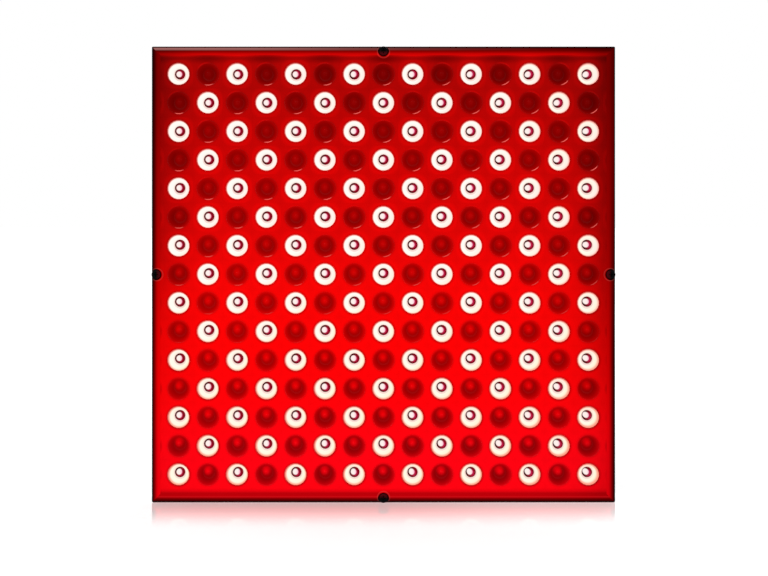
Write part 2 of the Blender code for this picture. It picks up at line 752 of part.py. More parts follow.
def make_choke():
    x, rise = on_board(CHOKE_SHARES)
    bpy.ops.mesh.primitive_torus_add(
        major_radius=CHOKE_RADIUS,
        minor_radius=CHOKE_WIRE_RADIUS,
        major_segments=CHOKE_STEPS,
        minor_segments=CHOKE_SIDES,
        rotation=FACING_BACK,
        location=at(x, COMPONENT_SEAT - CHOKE_WIRE_RADIUS, rise),
    )
    choke = bpy.context.object
    choke.name = "input_choke"
    choke.data.materials.append(COPPER)
    for collection in list(choke.users_collection):
        collection.objects.unlink(choke)
    PARTS.objects.link(choke)


def make_driver_parts():
    top = COMPONENT_SEAT - TERMINAL_HEIGHT
    x, rise = on_board(INPUT_TERMINAL_SHARES)
    slab("input_terminal", TERMINAL_SHORT, TERMINAL_LONG, top, COMPONENT_SEAT, x, rise, GREEN_TERMINAL)
    x, rise = on_board(OUTPUT_TERMINAL_SHARES)
    slab("output_terminal", TERMINAL_LONG, TERMINAL_SHORT, top, COMPONENT_SEAT, x, rise, GREEN_TERMINAL)
    lying_can("input_capacitor", CAPACITOR_RADIUS, INPUT_CAN_LENGTH, on_board(INPUT_CAN_SHARES), UP, CAN)
    lying_can("output_capacitor", CAPACITOR_RADIUS, OUTPUT_CAN_LENGTH, on_board(OUTPUT_CAN_SHARES), UP, CAN)
    lying_can("input_fuse", FUSE_RADIUS, FUSE_LENGTH, on_board(FUSE_SHARES), ACROSS, GLASS)
    make_transformer()
    make_heatsink()
    make_choke()


def rounded_cavity(name, size, front, back, spot):
    """Cutter with half-round ends, between two depths."""
    width, height = size
    bm = bmesh.new()
    add_block(bm, (width, back - front, height), (0, 0, 0))
    along = [edge for edge in bm.edges if abs((edge.verts[0].co - edge.verts[1].co).y) > WELD]
    bmesh.ops.bevel(
        bm,
        geom=along,
        offset=height / 2 - SEAT_GAP,
        segments=INLET_ROUND_STEPS,
        profile=0.5,
        affect="EDGES",
    )
    x, rise = spot
    return place(name, mesh_from(bm, name), at(x, (front + back) / 2, rise))


def pin_places():
    x, rise = INLET_PLACE
    return {"neutral": (x - PIN_SPACING / 2, rise), "live": (x + PIN_SPACING / 2, rise)}


def make_inlet():
    """Two-pole mains inlet: flange and body in one, a cavity with round ends, and two pins in its floor."""
    x, rise = INLET_PLACE
    floor = BEZEL_FACE - INLET_CAVITY_DEPTH
    bottom = INLET_BOTTOM
    width, height = INLET_FLANGE
    socket = slab("inlet_socket", width, height, BEZEL_SEAT, BEZEL_FACE, x, rise, BLACK_PLASTIC)
    width, height = INLET_BODY
    middle = (BEZEL_SEAT + BEZEL_FACE) / 2
    join(socket, slab("inlet_body", width, height, bottom, middle, x, rise))
    carve(socket, rounded_cavity("inlet_cavity", INLET_CAVITY, floor, BEZEL_FACE + OVERRUN, INLET_PLACE))
    radius = PIN_RADIUS + SEAT_GAP
    holes = [
        (radius, at(px, bottom - OVERRUN, pz), at(px, floor + OVERRUN, pz))
        for px, pz in pin_places().values()
    ]
    carve(socket, rods("pin_holes", holes))
    for pole, (px, pz) in pin_places().items():
        start = at(px, bottom - PIN_TAIL, pz)
        end = at(px, BEZEL_FACE - PIN_SETBACK, pz)
        rods(f"inlet_pin_{pole}", [(PIN_RADIUS, start, end)], BRASS)


def pocket_floor():
    """Depth of the switch pocket's floor: the rocker's lowest corner at full throw, and a gap."""
    half = math.sqrt(ROCKER_RADIUS**2 - ROCKER_BASE**2)
    lowest = ROCKER_BASE * math.cos(ROCKER_TILT) + half * math.sin(ROCKER_TILT)
    return PIVOT_DEPTH - lowest - SEAT_GAP


def blade_places():
    x, rise = SWITCH_PLACE
    return [(x, rise - BLADE_OFFSET), (x, rise + BLADE_OFFSET)]


def make_switch_frame():
    """Bezel, body and two terminal blades in one, with a pocket and a cross hole for the rocker."""
    x, rise = SWITCH_PLACE
    floor = pocket_floor()
    bottom = floor - SWITCH_FLOOR
    width, height = SWITCH_BEZEL
    frame = slab("switch_frame", width, height, BEZEL_SEAT, BEZEL_FACE, x, rise, BLACK_PLASTIC)
    width, height = SWITCH_BODY
    middle = (BEZEL_SEAT + BEZEL_FACE) / 2
    join(frame, slab("switch_body", width, height, bottom, middle, x, rise))
    bm = bmesh.new()
    for bx, bz in blade_places():
        start = bottom - BLADE_LENGTH
        end = bottom + SWITCH_FLOOR / 2
        add_block(bm, (BLADE_WIDTH, end - start, BLADE_THICKNESS), at(bx, (start + end) / 2, bz))
    join(frame, place("switch_blades", mesh_from(bm, "switch_blades"), (0, 0, 0)))
    pocket_width = ROCKER_WIDTH + 2 * SEAT_GAP
    pocket_height = 2 * (ROCKER_RADIUS + SEAT_GAP)
    pocket = slab("switch_pocket", pocket_width, pocket_height, floor, BEZEL_FACE + OVERRUN, x, rise)
    half = SWITCH_BODY[0] / 2 + OVERRUN
    hole = (TRUNNION_RADIUS + SEAT_GAP, at(x - half, PIVOT_DEPTH, rise), at(x + half, PIVOT_DEPTH, rise))
    carve(frame, pocket, rods("trunnion_hole", [hole]))


def rocker_outline():
    """Points round the rocker's side, as (across, out): shallow V face, round ends and flat underside."""
    first = ROCKER_END_ANGLE
    last = -math.asin(ROCKER_BASE / ROCKER_RADIUS)
    angles = [first + (last - first) * step / ROCKER_ARC_STEPS for step in range(ROCKER_ARC_STEPS + 1)]
    right = [(ROCKER_RADIUS * math.cos(a), ROCKER_RADIUS * math.sin(a)) for a in angles]
    left = [(-across, out) for across, out in reversed(right)]
    return [(0, ROCKER_MIDDLE)] + right + left


def make_switch_rocker():
    """Rocker on two trunnions. Its origin is on its pivot, and at rest its upper end is pressed in."""
    curve = bpy.data.curves.new("rocker_outline", "CURVE")
    curve.dimensions = "2D"
    curve.fill_mode = "BOTH"
    curve.extrude = ROCKER_WIDTH / 2
    outline = rocker_outline()
    spline = curve.splines.new("POLY")
    spline.points.add(len(outline) - 1)
    for point, (across, out) in zip(spline.points, outline):
        point.co = (across, out, 0, 1)
    spline.use_cyclic_u = True
    flat = bpy.data.objects.new("rocker_outline", curve)
    CUTTERS.objects.link(flat)
    bpy.context.view_layer.update()
    graph = bpy.context.evaluated_depsgraph_get()
    mesh = bpy.data.meshes.new_from_object(flat.evaluated_get(graph))
    bpy.data.objects.remove(flat)
    bm = bmesh.new()
    bm.from_mesh(mesh)
    bmesh.ops.remove_doubles(bm, verts=bm.verts, dist=WELD)
    to_side = Matrix(((0, 0, 1), (0, 1, 0), (-1, 0, 0))).to_4x4()
    bmesh.ops.transform(bm, matrix=to_side, verts=bm.verts)
    bmesh.ops.recalc_face_normals(bm, faces=bm.faces)
    bm.to_mesh(mesh)
    bm.free()
    x, rise = SWITCH_PLACE
    rocker = place("switch_rocker", mesh, at(x, PIVOT_DEPTH, rise), BLACK_PLASTIC)
    rocker.rotation_euler = (ROCKER_TILT, 0, 0)
    half = ROCKER_WIDTH / 2 + TRUNNION_REACH
    pivot = (TRUNNION_RADIUS, at(x - half, PIVOT_DEPTH, rise), at(x + half, PIVOT_DEPTH, rise))
    join(rocker, rods("trunnion", [pivot]))


def ring_mesh():
    """D-ring: a straight bar on the barrel's axis and a half-round bow below it, as one closed wire."""
    curve = bpy.data.curves.new("ring", "CURVE")
    curve.dimensions = "3D"
    curve.bevel_depth = RING_WIRE_RADIUS
    curve.bevel_resolution = WIRE_RESOLUTION
    spline = curve.splines.new("POLY")
    spline.points.add(RING_STEPS)
    for step, point in enumerate(spline.points):
        angle = math.pi * step / RING_STEPS
        point.co = (-RING_WIDTH / 2 * math.cos(angle), 0, -RING_DROP * math.sin(angle), 1)
    spline.use_cyclic_u = True
    return curve


def make_hangers():
    """Four hangers on the back: a plate with a rolled barrel, a free D-ring in it and a screw."""
    spots = hanger_screw_places()
    first = next(iter(spots))
    x, rise = spots[first]
    axis_rise = rise - HANGER_SCREW_RISE
    front = HOUSING_BACK + SEAT_GAP
    height = HANGER_PLATE_HEIGHT
    plate = slab(
        f"hanger_plate_{first}",
        HANGER_PLATE_WIDTH,
        height,
        front,
        front + HANGER_PLATE_THICKNESS,
        x,
        axis_rise + height / 2,
        STEEL,
    )
    half = HANGER_PLATE_WIDTH / 2
    past = half + OVERRUN
    axis = [at(x + end, BARREL_DEPTH, axis_rise) for end in (-half, half)]
    axis_past = [at(x + end, BARREL_DEPTH, axis_rise) for end in (-past, past)]
    join(plate, rods("barrel", [(BARREL_RADIUS, *axis)]))
    bore = (RING_WIRE_RADIUS + SEAT_GAP, *axis_past)
    hole = (hole_radius(HANGER_SCREW), at(x, front - OVERRUN, rise), at(x, front + OVERRUN, rise))
    carve(plate, rods("barrel_bore", [bore]), rods("hanger_hole", [hole]))
    baked(plate)
    ring = bpy.data.objects.new(f"hanger_ring_{first}", ring_mesh())
    ring.location = at(x, BARREL_DEPTH, axis_rise)
    ring.data.materials.append(STEEL)
    PARTS.objects.link(ring)
    others = list(spots)[1:]
    offsets = [(spots[name][0] - x, 0, spots[name][1] - rise) for name in others]
    copies(plate, [f"hanger_plate_{name}" for name in others], offsets)
    copies(ring, [f"hanger_ring_{name}" for name in others], offsets)
    for name, (screw_x, screw_rise) in spots.items():
        seat = at(screw_x, hanger_seat(), screw_rise)
        screw_part(f"hanger_screw_{name}", HANGER_SCREW, seat, FACING_BACK)


def between(first, last, start, end, moment):
    return first.lerp(last, (moment - start) / (end - start))


def smooth_route(points):
    """Points along a smooth curve through the route's own points, timed so that it doesn't overshoot."""
    knots = [Vector(point) for point in points]
    knots = [2 * knots[0] - knots[1]] + knots + [2 * knots[-1] - knots[-2]]
    times = [0]
    for first, last in zip(knots, knots[1:]):
        times.append(times[-1] + math.sqrt((last - first).length))
    route = []
    for span in range(len(knots) - 3):
        a, b, c, d = knots[span : span + 4]
        ta, tb, tc, td = times[span : span + 4]
        for step in range(WIRE_POINTS_PER_SPAN):
            t = tb + (tc - tb) * step / WIRE_POINTS_PER_SPAN
            ab = between(a, b, ta, tb, t)
            bc = between(b, c, tb, tc, t)
            cd = between(c, d, tc, td, t)
            route.append(between(between(ab, bc, ta, tc, t), between(bc, cd, tb, td, t), tb, tc, t))
    return route + [knots[-2]]


def wire(name, points, radius, look):
    curve = bpy.data.curves.new(name, "CURVE")
    curve.dimensions = "3D"
    curve.bevel_depth = radius
    curve.bevel_resolution = WIRE_RESOLUTION
    curve.use_fill_caps = True
    route = smooth_route(points)
    spline = curve.splines.new("POLY")
    spline.points.add(len(route) - 1)
    for point, place_on_route in zip(spline.points, route):
        point.co = (*place_on_route, 1)
    obj = bpy.data.objects.new(name, curve)
    curve.materials.append(look)
    PARTS.objects.link(obj)


def make_mains_wires():
    """Live from the inlet to the switch, then on to the board, and neutral from the inlet to the board."""
    pins = pin_places()
    (lower_x, lower), (upper_x, upper) = blade_places()
    pin_depth = INLET_BOTTOM - PIN_TAIL / 2
    blade_depth = pocket_floor() - SWITCH_FLOOR - BLADE_LENGTH / 2
    terminal_x, board_rise = on_board(INPUT_TERMINAL_SHARES)
    board_x = terminal_x + TERMINAL_SHORT / 2 + SEAT_GAP
    board_depth = TERMINAL_MIDDLE
    quarter = TERMINAL_LONG / 4
    beside_pin = PIN_RADIUS + SEAT_GAP
    beside_blade = BLADE_WIDTH / 2 + SEAT_GAP
    live_x, pin_rise = pins["live"]
    half_way = (pin_rise + lower) / 2
    live = [
        at(live_x + beside_pin, pin_depth, pin_rise),
        at(live_x + beside_pin + WIRE_LEAD, pin_depth, pin_rise),
        at(live_x + WIRE_BOW, pin_depth, half_way),
        at(lower_x + beside_blade + WIRE_LEAD, blade_depth, lower),
        at(lower_x + beside_blade, blade_depth, lower),
    ]
    wire("live_wire", live, MAINS_WIRE_RADIUS, BROWN_WIRE)
    switched = [
        at(upper_x - beside_blade, blade_depth, upper),
        at(upper_x - beside_blade - WIRE_LEAD, blade_depth, upper),
        at(board_x + WIRE_LEAD, board_depth, board_rise + quarter),
        at(board_x, board_depth, board_rise + quarter),
    ]
    wire("switched_wire", switched, MAINS_WIRE_RADIUS, BROWN_WIRE)
    neutral_x = pins["neutral"][0] - beside_pin
    neutral = [
        at(neutral_x, pin_depth, pin_rise),
        at(neutral_x - WIRE_LEAD, pin_depth, pin_rise),
        at(board_x + WIRE_BOW, pin_depth, half_way),
        at(board_x + WIRE_LEAD, board_depth, board_rise - quarter),
        at(board_x, board_depth, board_rise - quarter),
    ]
    wire("neutral_wire", neutral, MAINS_WIRE_RADIUS, BLUE_WIRE)


def make_led_wires():
    """From the driver down behind the heat spreader, round its edge and up past the ends of the strips."""
    x, rise = on_board(OUTPUT_TERMINAL_SHARES)
    depth = TERMINAL_MIDDLE
    start_rise = rise - TERMINAL_SHORT / 2 - SEAT_GAP
    behind = SPREADER_BACK + LED_WIRE_BEHIND
    before = (PLATE_BACK + SPREADER_FRONT) / 2
    edge_x = PANEL_WIDTH / 2 - SPREADER_MARGIN + LED_WIRE_WRAP
    end_x = STRIP_LENGTH / 2 + LED_WIRE_CLEAR + LED_WIRE_RADIUS
    low = row_rise(ROWS - 1) - LED_WIRE_REACH
    for pole, side, look in (("positive", -1, RED_WIRE), ("negative", 1, BLACK_WIRE)):
        start_x = x + side * TERMINAL_LONG / 4
        corner_x = side * edge_x
        route = [
            at(start_x, depth, start_rise),
            at(start_x, depth, start_rise - PLATEAU_SLOPE),
            at((2 * start_x + corner_x) / 3, behind, (2 * start_rise + low) / 3),
            at((start_x + 4 * corner_x) / 5, behind, (start_rise + 5 * low) / 6),
            at(corner_x, (behind + SPREADER_BACK) / 2, low),
            at(corner_x, (STRIP_BACK + before) / 2, low),
            at(side * end_x, before, low + LED_WIRE_REACH),
            at(side * end_x, before, low + 2 * LED_WIRE_REACH),
            at(side * end_x, before, 0),
            at(side * end_x, before, row_rise(0)),
        ]
        wire(f"led_wire_{pole}", route, LED_WIRE_RADIUS, look)


def smooth_round_parts():
    """Shade the pieces smooth, with their edges kept sharp."""
    for obj in PARTS.objects:
        if obj.type == "MESH":
            obj.data.shade_smooth()
            obj.data.set_sharp_from_angle(angle=SHARP_ANGLE)


make_front_panel()
make_front_screws()
make_led_strips()
make_heat_spreader()
make_insulating_sheet()
make_rear_housing()
make_driver_board()
make_driver_parts()
make_inlet()
make_switch_frame()
make_switch_rocker()
make_hangers()
make_mains_wires()
make_led_wires()
smooth_round_parts()
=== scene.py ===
"""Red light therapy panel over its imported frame: cup plate, rim, LED strips, housing, hangers, inlet, switch.

Lengths are in millimetres until `at` turns them into metres. A place is given by its X, its depth behind the
rim's crest, and its rise over the panel's middle.
"""

import math

import bmesh
import bpy
import numpy as np
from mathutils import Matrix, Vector


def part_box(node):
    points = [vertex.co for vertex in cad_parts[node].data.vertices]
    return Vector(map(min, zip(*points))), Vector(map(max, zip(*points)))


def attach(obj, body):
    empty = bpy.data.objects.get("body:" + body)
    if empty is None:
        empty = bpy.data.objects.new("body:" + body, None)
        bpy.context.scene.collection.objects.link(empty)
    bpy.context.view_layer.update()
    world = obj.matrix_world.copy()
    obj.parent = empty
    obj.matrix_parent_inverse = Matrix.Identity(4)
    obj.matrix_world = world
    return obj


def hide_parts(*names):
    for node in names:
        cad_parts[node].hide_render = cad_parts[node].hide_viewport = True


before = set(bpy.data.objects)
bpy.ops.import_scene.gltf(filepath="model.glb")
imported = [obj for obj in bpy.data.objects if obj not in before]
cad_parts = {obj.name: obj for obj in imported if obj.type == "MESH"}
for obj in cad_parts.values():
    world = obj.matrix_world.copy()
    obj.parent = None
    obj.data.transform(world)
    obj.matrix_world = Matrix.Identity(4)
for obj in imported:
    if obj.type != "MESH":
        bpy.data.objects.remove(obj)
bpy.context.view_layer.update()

MM = 0.001
WELD = 1e-6
FINE_GRAIN = 2600.0
PANEL_HALF = (155.0, 152.5)
CREST_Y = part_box("front_panel")[0][1]
MID_Z = PANEL_HALF[1] * MM

# Spans that colour tables run over: the field of cups, the band inside the panel's edge, a cell and a cup
FIELD = 300.0
EDGE_BAND = 12.0
CELL_REACH = 14.0
CUP_REACH = 8.0

# Cup plate and rim
CUPS = 15
CUP_PITCH = (19.6, 19.16)
CUP_POINTS = 20
FACE_DEPTH = 4.0
PLATE_BACK = 10.8
PLATE_INSET = 5.0
CUP_RINGS = ((7.6, 4.0), (7.1, 4.35), (6.05, 6.9), (4.2, 10.8))
RIM_PROFILE = (
    (0.9, 3.0), (0.9, 2.15), (1.05, 1.85), (2.5, 0.2), (2.8, 0.0), (4.05, 0.0),
    (4.3, 0.2), (5.8, 4.6), (5.2, 4.8), (5.2, 10.8), (2.3, 10.8), (2.3, 3.0),
)
SCREW_INSET = 3.3
SCREW_RECESS = (3.6, 1.7)
SCREW_PAD = 4.7
PAD_DEPTHS = (0.02, 4.6)

# Screws: radius and height of the head, radius and length of the shank, and the depth of the seat
FRONT_SCREW, FRONT_SEAT = (3.2, 1.3, 1.3, 10.0), 1.4
HANGER_SCREW, HANGER_SEAT = (3.0, 1.6, 1.3, 7.5), 27.8

# LED strips
STRIP = (145.2, 6.0, 11.1, 12.7)
LED_RISE = 0.55
LED_RINGS = ((3.5, -0.4), (3.5, 0.8), (3.0, 1.0), (2.9, 2.1), (2.65, 3.0), (2.05, 3.9), (1.1, 4.45), (0.0, 4.6))
LED_POINTS = 16

# Housing
HOUSING_FRONT = 3.3
HOUSING_BACK = 26.0
HOUSING_WALL = 2.0
PLATEAU = (85.0, 55.0, 5.0, 4.0)
VENTS = 15
VENT_PITCH = 10.0
VENT_SIZE = (1.5, 14.0)
VENT_RISE = 84.0
CORNER_ROUND = 2.0
FLOOR_ROOT = 25.0
POST = (3.5, 14.8)
POST_X = 140.0
STRIP_ROWS = (-6.5, 0.5, 6.5)
SCREW_BOSS = 3.0
HANGER_BOSS = (3.5, 19.0)
BOARD_X = -18.0
BOARD_HALF = (56.0, 35.0)
STANDOFF_INSET = 4.0
STANDOFF, PEG = (2.5, 27.0, 30.0), (1.2, 24.3, 28.0)

# Hangers
HANGER_PLACE = (118.0, 112.0)
AXIS_DROP = 10.0
BARREL_DEPTH = 28.9
BARREL = ((1.55, -6.0), (2.4, -6.0), (2.6, -5.8), (2.6, 5.8), (2.4, 6.0), (1.55, 6.0))
HANGER_PLATE = (6.0, 9.0, 26.3, 27.5)
RING_HALF_WIDTH, RING_CORNER, RING_BOW, RING_WIRE = 9.0, 2.0, 13.0, 1.25

# Inlet and switch
INLET_PLACE, INLET_HOLE = (60.0, -22.0), (10.3, 6.05)
SWITCH_PLACE, SWITCH_HOLE = (60.0, 20.0), (6.75, 9.7)
HOLE_DEPTHS = (27.0, 33.0)
PIN_SPREAD = 4.3
BLADE_SPREAD = 5.0
PIVOT_DEPTH = 27.9
PIVOT = (1.0, 5.7)
ROCKER_RADIUS = 7.5
ROCKER_HALF_WIDTH = 4.7
ROCKER_TILT = math.radians(7)
ROCKER_MARK_RISE = 4.1


# ---- shapes


def at(x, depth, rise):
    """Points in metres from arrays of X, depth and rise in millimetres."""
    x, depth, rise = np.broadcast_arrays(x, depth, rise)
    return np.stack([x * MM, CREST_Y + depth * MM, MID_Z + rise * MM], axis=-1).astype(float)


def joined_rings(rings, looped=False):
    """Skin over rings of points: quads between neighbouring rings, then a cap on each end ring.

    A looped skin has no caps: its last ring is joined to its first.
    """
    rings = np.asarray(rings)
    count, around = rings.shape[:2]
    ring = np.arange(count if looped else count - 1)[:, None] * around
    after = (ring + around) % (count * around)
    step = np.arange(around)[None, :]
    beside = (step + 1) % around
    quads = np.stack([ring + step, ring + beside, after + beside, after + step], axis=-1)
    faces = quads.reshape(-1, 4).tolist()
    if not looped:
        faces += [list(range(around))[::-1], list(range((count - 1) * around, count * around))]
    return rings.reshape(-1, 3), faces


def square_loop(points):
    """Loop round a square of half side 1 from its upper right corner, in equal steps on each side."""
    share = np.linspace(1, -1, points // 4, endpoint=False)
    one = np.ones_like(share)
    return np.concatenate([[share, one], [-one, share], [-share, -one], [one, -share]], axis=1).T


def shifts(places):
    """Moves in metres from rows of X and rise in millimetres."""
    places = np.asarray(places, float)
    return np.stack([places[:, 0], 0 * places[:, 0], places[:, 1]], axis=-1) * MM


def repeated(points, faces, offsets):
    """Copies of one shape: its points plus each offset, and its faces counted on from there."""
    count = len(points)
    moved = (points[None] + offsets[:, None]).reshape(-1, 3)
    more = [[corner + copy * count for corner in face] for copy in range(len(offsets)) for face in faces]
    return moved, more


def round_corners(half_width, half_height, radius, steps=5):
    """Loop round a rectangle: each corner's centre plus the radius along a quarter turn of directions."""
    turn = np.linspace(0, math.pi / 2, steps)
    angle = (turn[None, :] + np.arange(4)[:, None] * math.pi / 2).ravel()
    side = np.repeat(square_loop(4), steps, axis=0)
    centre = side * (np.array([half_width, half_height]) - radius)
    return centre + radius * np.stack([np.cos(angle), np.sin(angle)], axis=-1)


def ring_at(depth, loop, place=(0.0, 0.0)):
    """A loop, as across and up about a place, at one depth."""
    return at(place[0] + loop[:, 0], depth, place[1] + loop[:, 1])


def stepped(sections, place, steps=5):
    """Solid through round-cornered sections (half width, half height, corner radius, depth) about a place."""
    return joined_rings([ring_at(depth, round_corners(*size, steps), place) for *size, depth in sections])


def full_turn(points):
    return np.arange(points) * 2 * math.pi / points


def drawn_in(half_width, half_height, table):
    """Sections of a rounded box from rows of inset, corner radius and depth."""
    return [(half_width - inset, half_height - inset, radius, depth) for inset, radius, depth in table]


def turned(profile, place, points=32, axis="depth", looped=False):
    """Solid of revolution: radius times the cosine and sine of a full turn, at each place along the axis.

    The axis runs along the depth, or across the panel. A looped profile makes a tube.
    """
    angle = full_turn(points)
    profile = np.asarray(profile, float)
    first, second = profile[:, :1] * np.cos(angle), profile[:, :1] * np.sin(angle)
    along = profile[:, 1:] + 0 * angle
    x, depth, rise = place
    if axis == "across":
        first, along = along, first
    return joined_rings(at(x + first, depth + along, rise + second), looped)


def solid(name, shapes, looks, smooth=30):
    """One mesh object, welded, from shapes: points, faces, and a number for the finish, or one for each face.

    A shape without a number takes the first finish.
    """
    points, faces, marks = [], [], []
    count = 0
    for shape_points, shape_faces, *mark in shapes:
        points.append(shape_points)
        faces += [[corner + count for corner in face] for face in shape_faces]
        marks += list(np.broadcast_to(mark[0] if mark else 0, len(shape_faces)))
        count += len(shape_points)
    mesh = bpy.data.meshes.new(name)
    mesh.from_pydata(np.concatenate(points), [], faces)
    mesh.polygons.foreach_set("material_index", np.array(marks, dtype=np.int32))
    tidy_faces(mesh)
    for look in looks:
        mesh.materials.append(LOOKS[look])
    obj = linked(name, mesh)
    soften(obj, smooth)
    return obj


def linked(name, data):
    """A new object of this data, in the scene."""
    obj = bpy.data.objects.new(name, data)
    bpy.context.scene.collection.objects.link(obj)
    return obj


def tidy_faces(mesh):
    """Merge points that coincide, drop faces that collapsed, and turn every face outwards."""
    bm = bmesh.new()
    bm.from_mesh(mesh)
    bmesh.ops.remove_doubles(bm, verts=bm.verts, dist=WELD)
    bmesh.ops.dissolve_degenerate(bm, edges=bm.edges, dist=WELD)
    bmesh.ops.recalc_face_normals(bm, faces=bm.faces)
    bm.to_mesh(mesh)
    bm.free()


def soften(obj, angle):
    """Shade smooth, but for edges sharper than this angle."""
    obj.data.shade_smooth()
    obj.data.set_sharp_from_angle(angle=math.radians(angle))


def combined(obj, others, operation="DIFFERENCE"):
    """Cut the other solids from this one, or join them to it, and remove them."""
    for other in others:
        step = obj.modifiers.new("cut", "BOOLEAN")
        step.operation = operation
        step.solver = "EXACT"
        step.object = other
    bpy.context.view_layer.update()
    made = bpy.data.meshes.new_from_object(obj.evaluated_get(bpy.context.evaluated_depsgraph_get()))
    obj.modifiers.clear()
    obj.data = made
    for other in others:
        bpy.data.objects.remove(other)
    soften(obj, 30)
    return obj


def fitted(obj, nodes, body="panel"):
    """The piece stands for these nodes and goes on this body. Its large faces shade flat."""
    obj.modifiers.new("flat_faces", "WEIGHTED_NORMAL").keep_sharp = True
    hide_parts(*nodes)
    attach(obj, body)


# ---- shader maths


class Value:
    """A shader socket. Arithmetic on it adds Math nodes."""

    def __init__(self, look, socket):
        self.look = look
        self.socket = socket

    def math(self, operation, *others):
        return self.look.node("ShaderNodeMath", {"operation": operation}, dict(enumerate((self, *others))))

    def __add__(self, other):
        return self.math("ADD", other)

    def __sub__(self, other):
        return self.math("SUBTRACT", other)

    def __rsub__(self, other):
        return self.look.node("ShaderNodeMath", {"operation": "SUBTRACT"}, {0: other, 1: self})

    def __mul__(self, other):
        return self.math("MULTIPLY", other)

    def __truediv__(self, other):
        return self.math("DIVIDE", other)

    def __abs__(self):
        return self.math("ABSOLUTE")

    __radd__ = __add__
    __rmul__ = __mul__

    def below(self, limit, soft):
        """1 under the limit, 0 over it, with a soft step between."""
        return self.between(limit + soft, limit - soft)

    def between(self, low, high):
        """Smooth step from 0 at low to 1 at high."""
        smooth = {"interpolation_type": "SMOOTHSTEP"}
        return self.look.node("ShaderNodeMapRange", smooth, {0: self, 1: low, 2: high})


class Nodes:
    """A node tree, of a material or of the world, whose nodes are added through one method."""

    def __init__(self, tree):
        self.tree = tree

    def fill(self, socket, value):
        if isinstance(value, Value):
            self.tree.links.new(value.socket, socket)
        elif socket.type == "RGBA" and len(value) == 3:
            socket.default_value = (*value, 1)
        else:
            socket.default_value = value

    def node(self, kind, settings=None, inputs=None, output=0):
        """Add a node of this type: settings first, then values or links in its sockets. Returns an output."""
        node = self.tree.nodes.new(kind)
        for name, value in (settings or {}).items():
            setattr(node, name, value)
        for key, value in (inputs or {}).items():
            self.fill(node.inputs[key], value)
        return Value(self, node.outputs[output])


class Look(Nodes):
    """A material with its main shader, and the colours, levels and places that feed it."""

    def __init__(self, name, specular):
        self.material = bpy.data.materials.new(name)
        self.material.use_nodes = True
        super().__init__(self.material.node_tree)
        self.shader = self.tree.nodes["Principled BSDF"]
        self.set(Specular_IOR_Level=specular)

    def set(self, **inputs):
        """Fill the main shader's sockets. An underscore in a name stands for a space."""
        for name, value in inputs.items():
            self.fill(self.shader.inputs[name.replace("_", " ")], value)

    def glow(self, colour, own_light, roughness):
        """Give off part of a colour and show the rest by the light that falls on it."""
        self.set(
            Base_Color=self.scaled(colour, 1 - own_light),
            Emission_Color=self.scaled(colour, own_light),
            Emission_Strength=1.0,
            Roughness=roughness,
        )

    def blend(self, share, first, second):
        """Colour that goes from the first to the second as the share goes from 0 to 1."""
        return self.node("ShaderNodeMix", {"data_type": "RGBA"}, {0: share, 6: first, 7: second}, 2)

    def scaled(self, colour, share):
        """A colour times a share."""
        return self.node("ShaderNodeVectorMath", {"operation": "SCALE"}, {0: colour, 3: share})

    def ramp(self, share, stops):
        """Colour read off straight lines through (place, colour) stops."""
        read = self.node("ShaderNodeValToRGB", None, {0: share})
        elements = read.socket.node.color_ramp.elements
        while len(elements) < len(stops):
            elements.new(1.0)
        for element, (place, colour) in zip(elements, stops):
            element.position = place
            element.color = (*colour, 1)
        return read

    def level(self, share, stops):
        """The same for a number, from levels up to 2."""
        return self.ramp(share, [(place, (height / 2,) * 3) for place, height in stops]) * 2

    def spot(self):
        """The piece's own coordinates, in metres."""
        return self.node("ShaderNodeTexCoord", output="Object")

    def axes(self):
        spot = self.spot()
        return [self.node("ShaderNodeSeparateXYZ", None, {0: spot}, axis) for axis in range(3)]

    def place(self):
        """X, depth and rise in millimetres."""
        x, y, z = self.axes()
        return x / MM, (y - CREST_Y) / MM, (z - MID_Z) / MM

    def cup_place(self):
        """Across and up from the middle of the nearest cup, in millimetres, and the distance from it."""
        x, _, rise = self.place()
        across = ((x / CUP_PITCH[0] + CUPS / 2).math("FRACT") - 0.5) * CUP_PITCH[0]
        up = ((rise / CUP_PITCH[1] + CUPS / 2).math("FRACT") - 0.5) * CUP_PITCH[1]
        return across, up, distance(across, up)

    def noise(self, scale, detail=3.0, stretch=None):
        """Noise from 0 to 1 on the piece's own coordinates, in patches of 1/scale metres."""
        spot = self.spot()
        if stretch:
            spot = self.node("ShaderNodeVectorMath", {"operation": "MULTIPLY"}, {0: spot, 1: stretch})
        return self.node("ShaderNodeTexNoise", None, {"Vector": spot, "Scale": scale, "Detail": detail})

    def bump(self, height, strength, depth):
        return self.node("ShaderNodeBump", None, {"Height": height, "Strength": strength, "Distance": depth})


def distance(across, up):
    """Square root of the sum of the two squares."""
    return (across * across + up * up).math("SQRT")


# ---- finishes


def moulded(look, colour, roughness, grain=FINE_GRAIN):
    """Moulded plastic: a fine pebbled grain, and a slow drift in tone and gloss."""
    drift = look.noise(28.0)
    grain_height = look.noise(grain, 2.0)
    lighter = tuple(min(1.0, channel * 1.35 + 0.001) for channel in colour)
    look.set(
        Base_Color=look.blend(drift, colour, lighter),
        Roughness=(roughness - 0.06) + drift * 0.12,
        Normal=look.bump(grain_height, 0.25, 0.00004),
    )


def metal(look, colour, roughness, stretch=None):
    """Metal: fine streaks or grain in its gloss, and faint dull patches in its colour."""
    streak = look.noise(900.0, 4.0, stretch)
    patch = look.noise(45.0)
    duller = tuple(channel * 0.8 for channel in colour)
    look.set(
        Base_Color=look.blend(patch, colour, duller),
        Metallic=1.0,
        Roughness=(roughness - 0.08) + streak * 0.2,
        Normal=look.bump(streak, 0.15, 0.00003),
    )


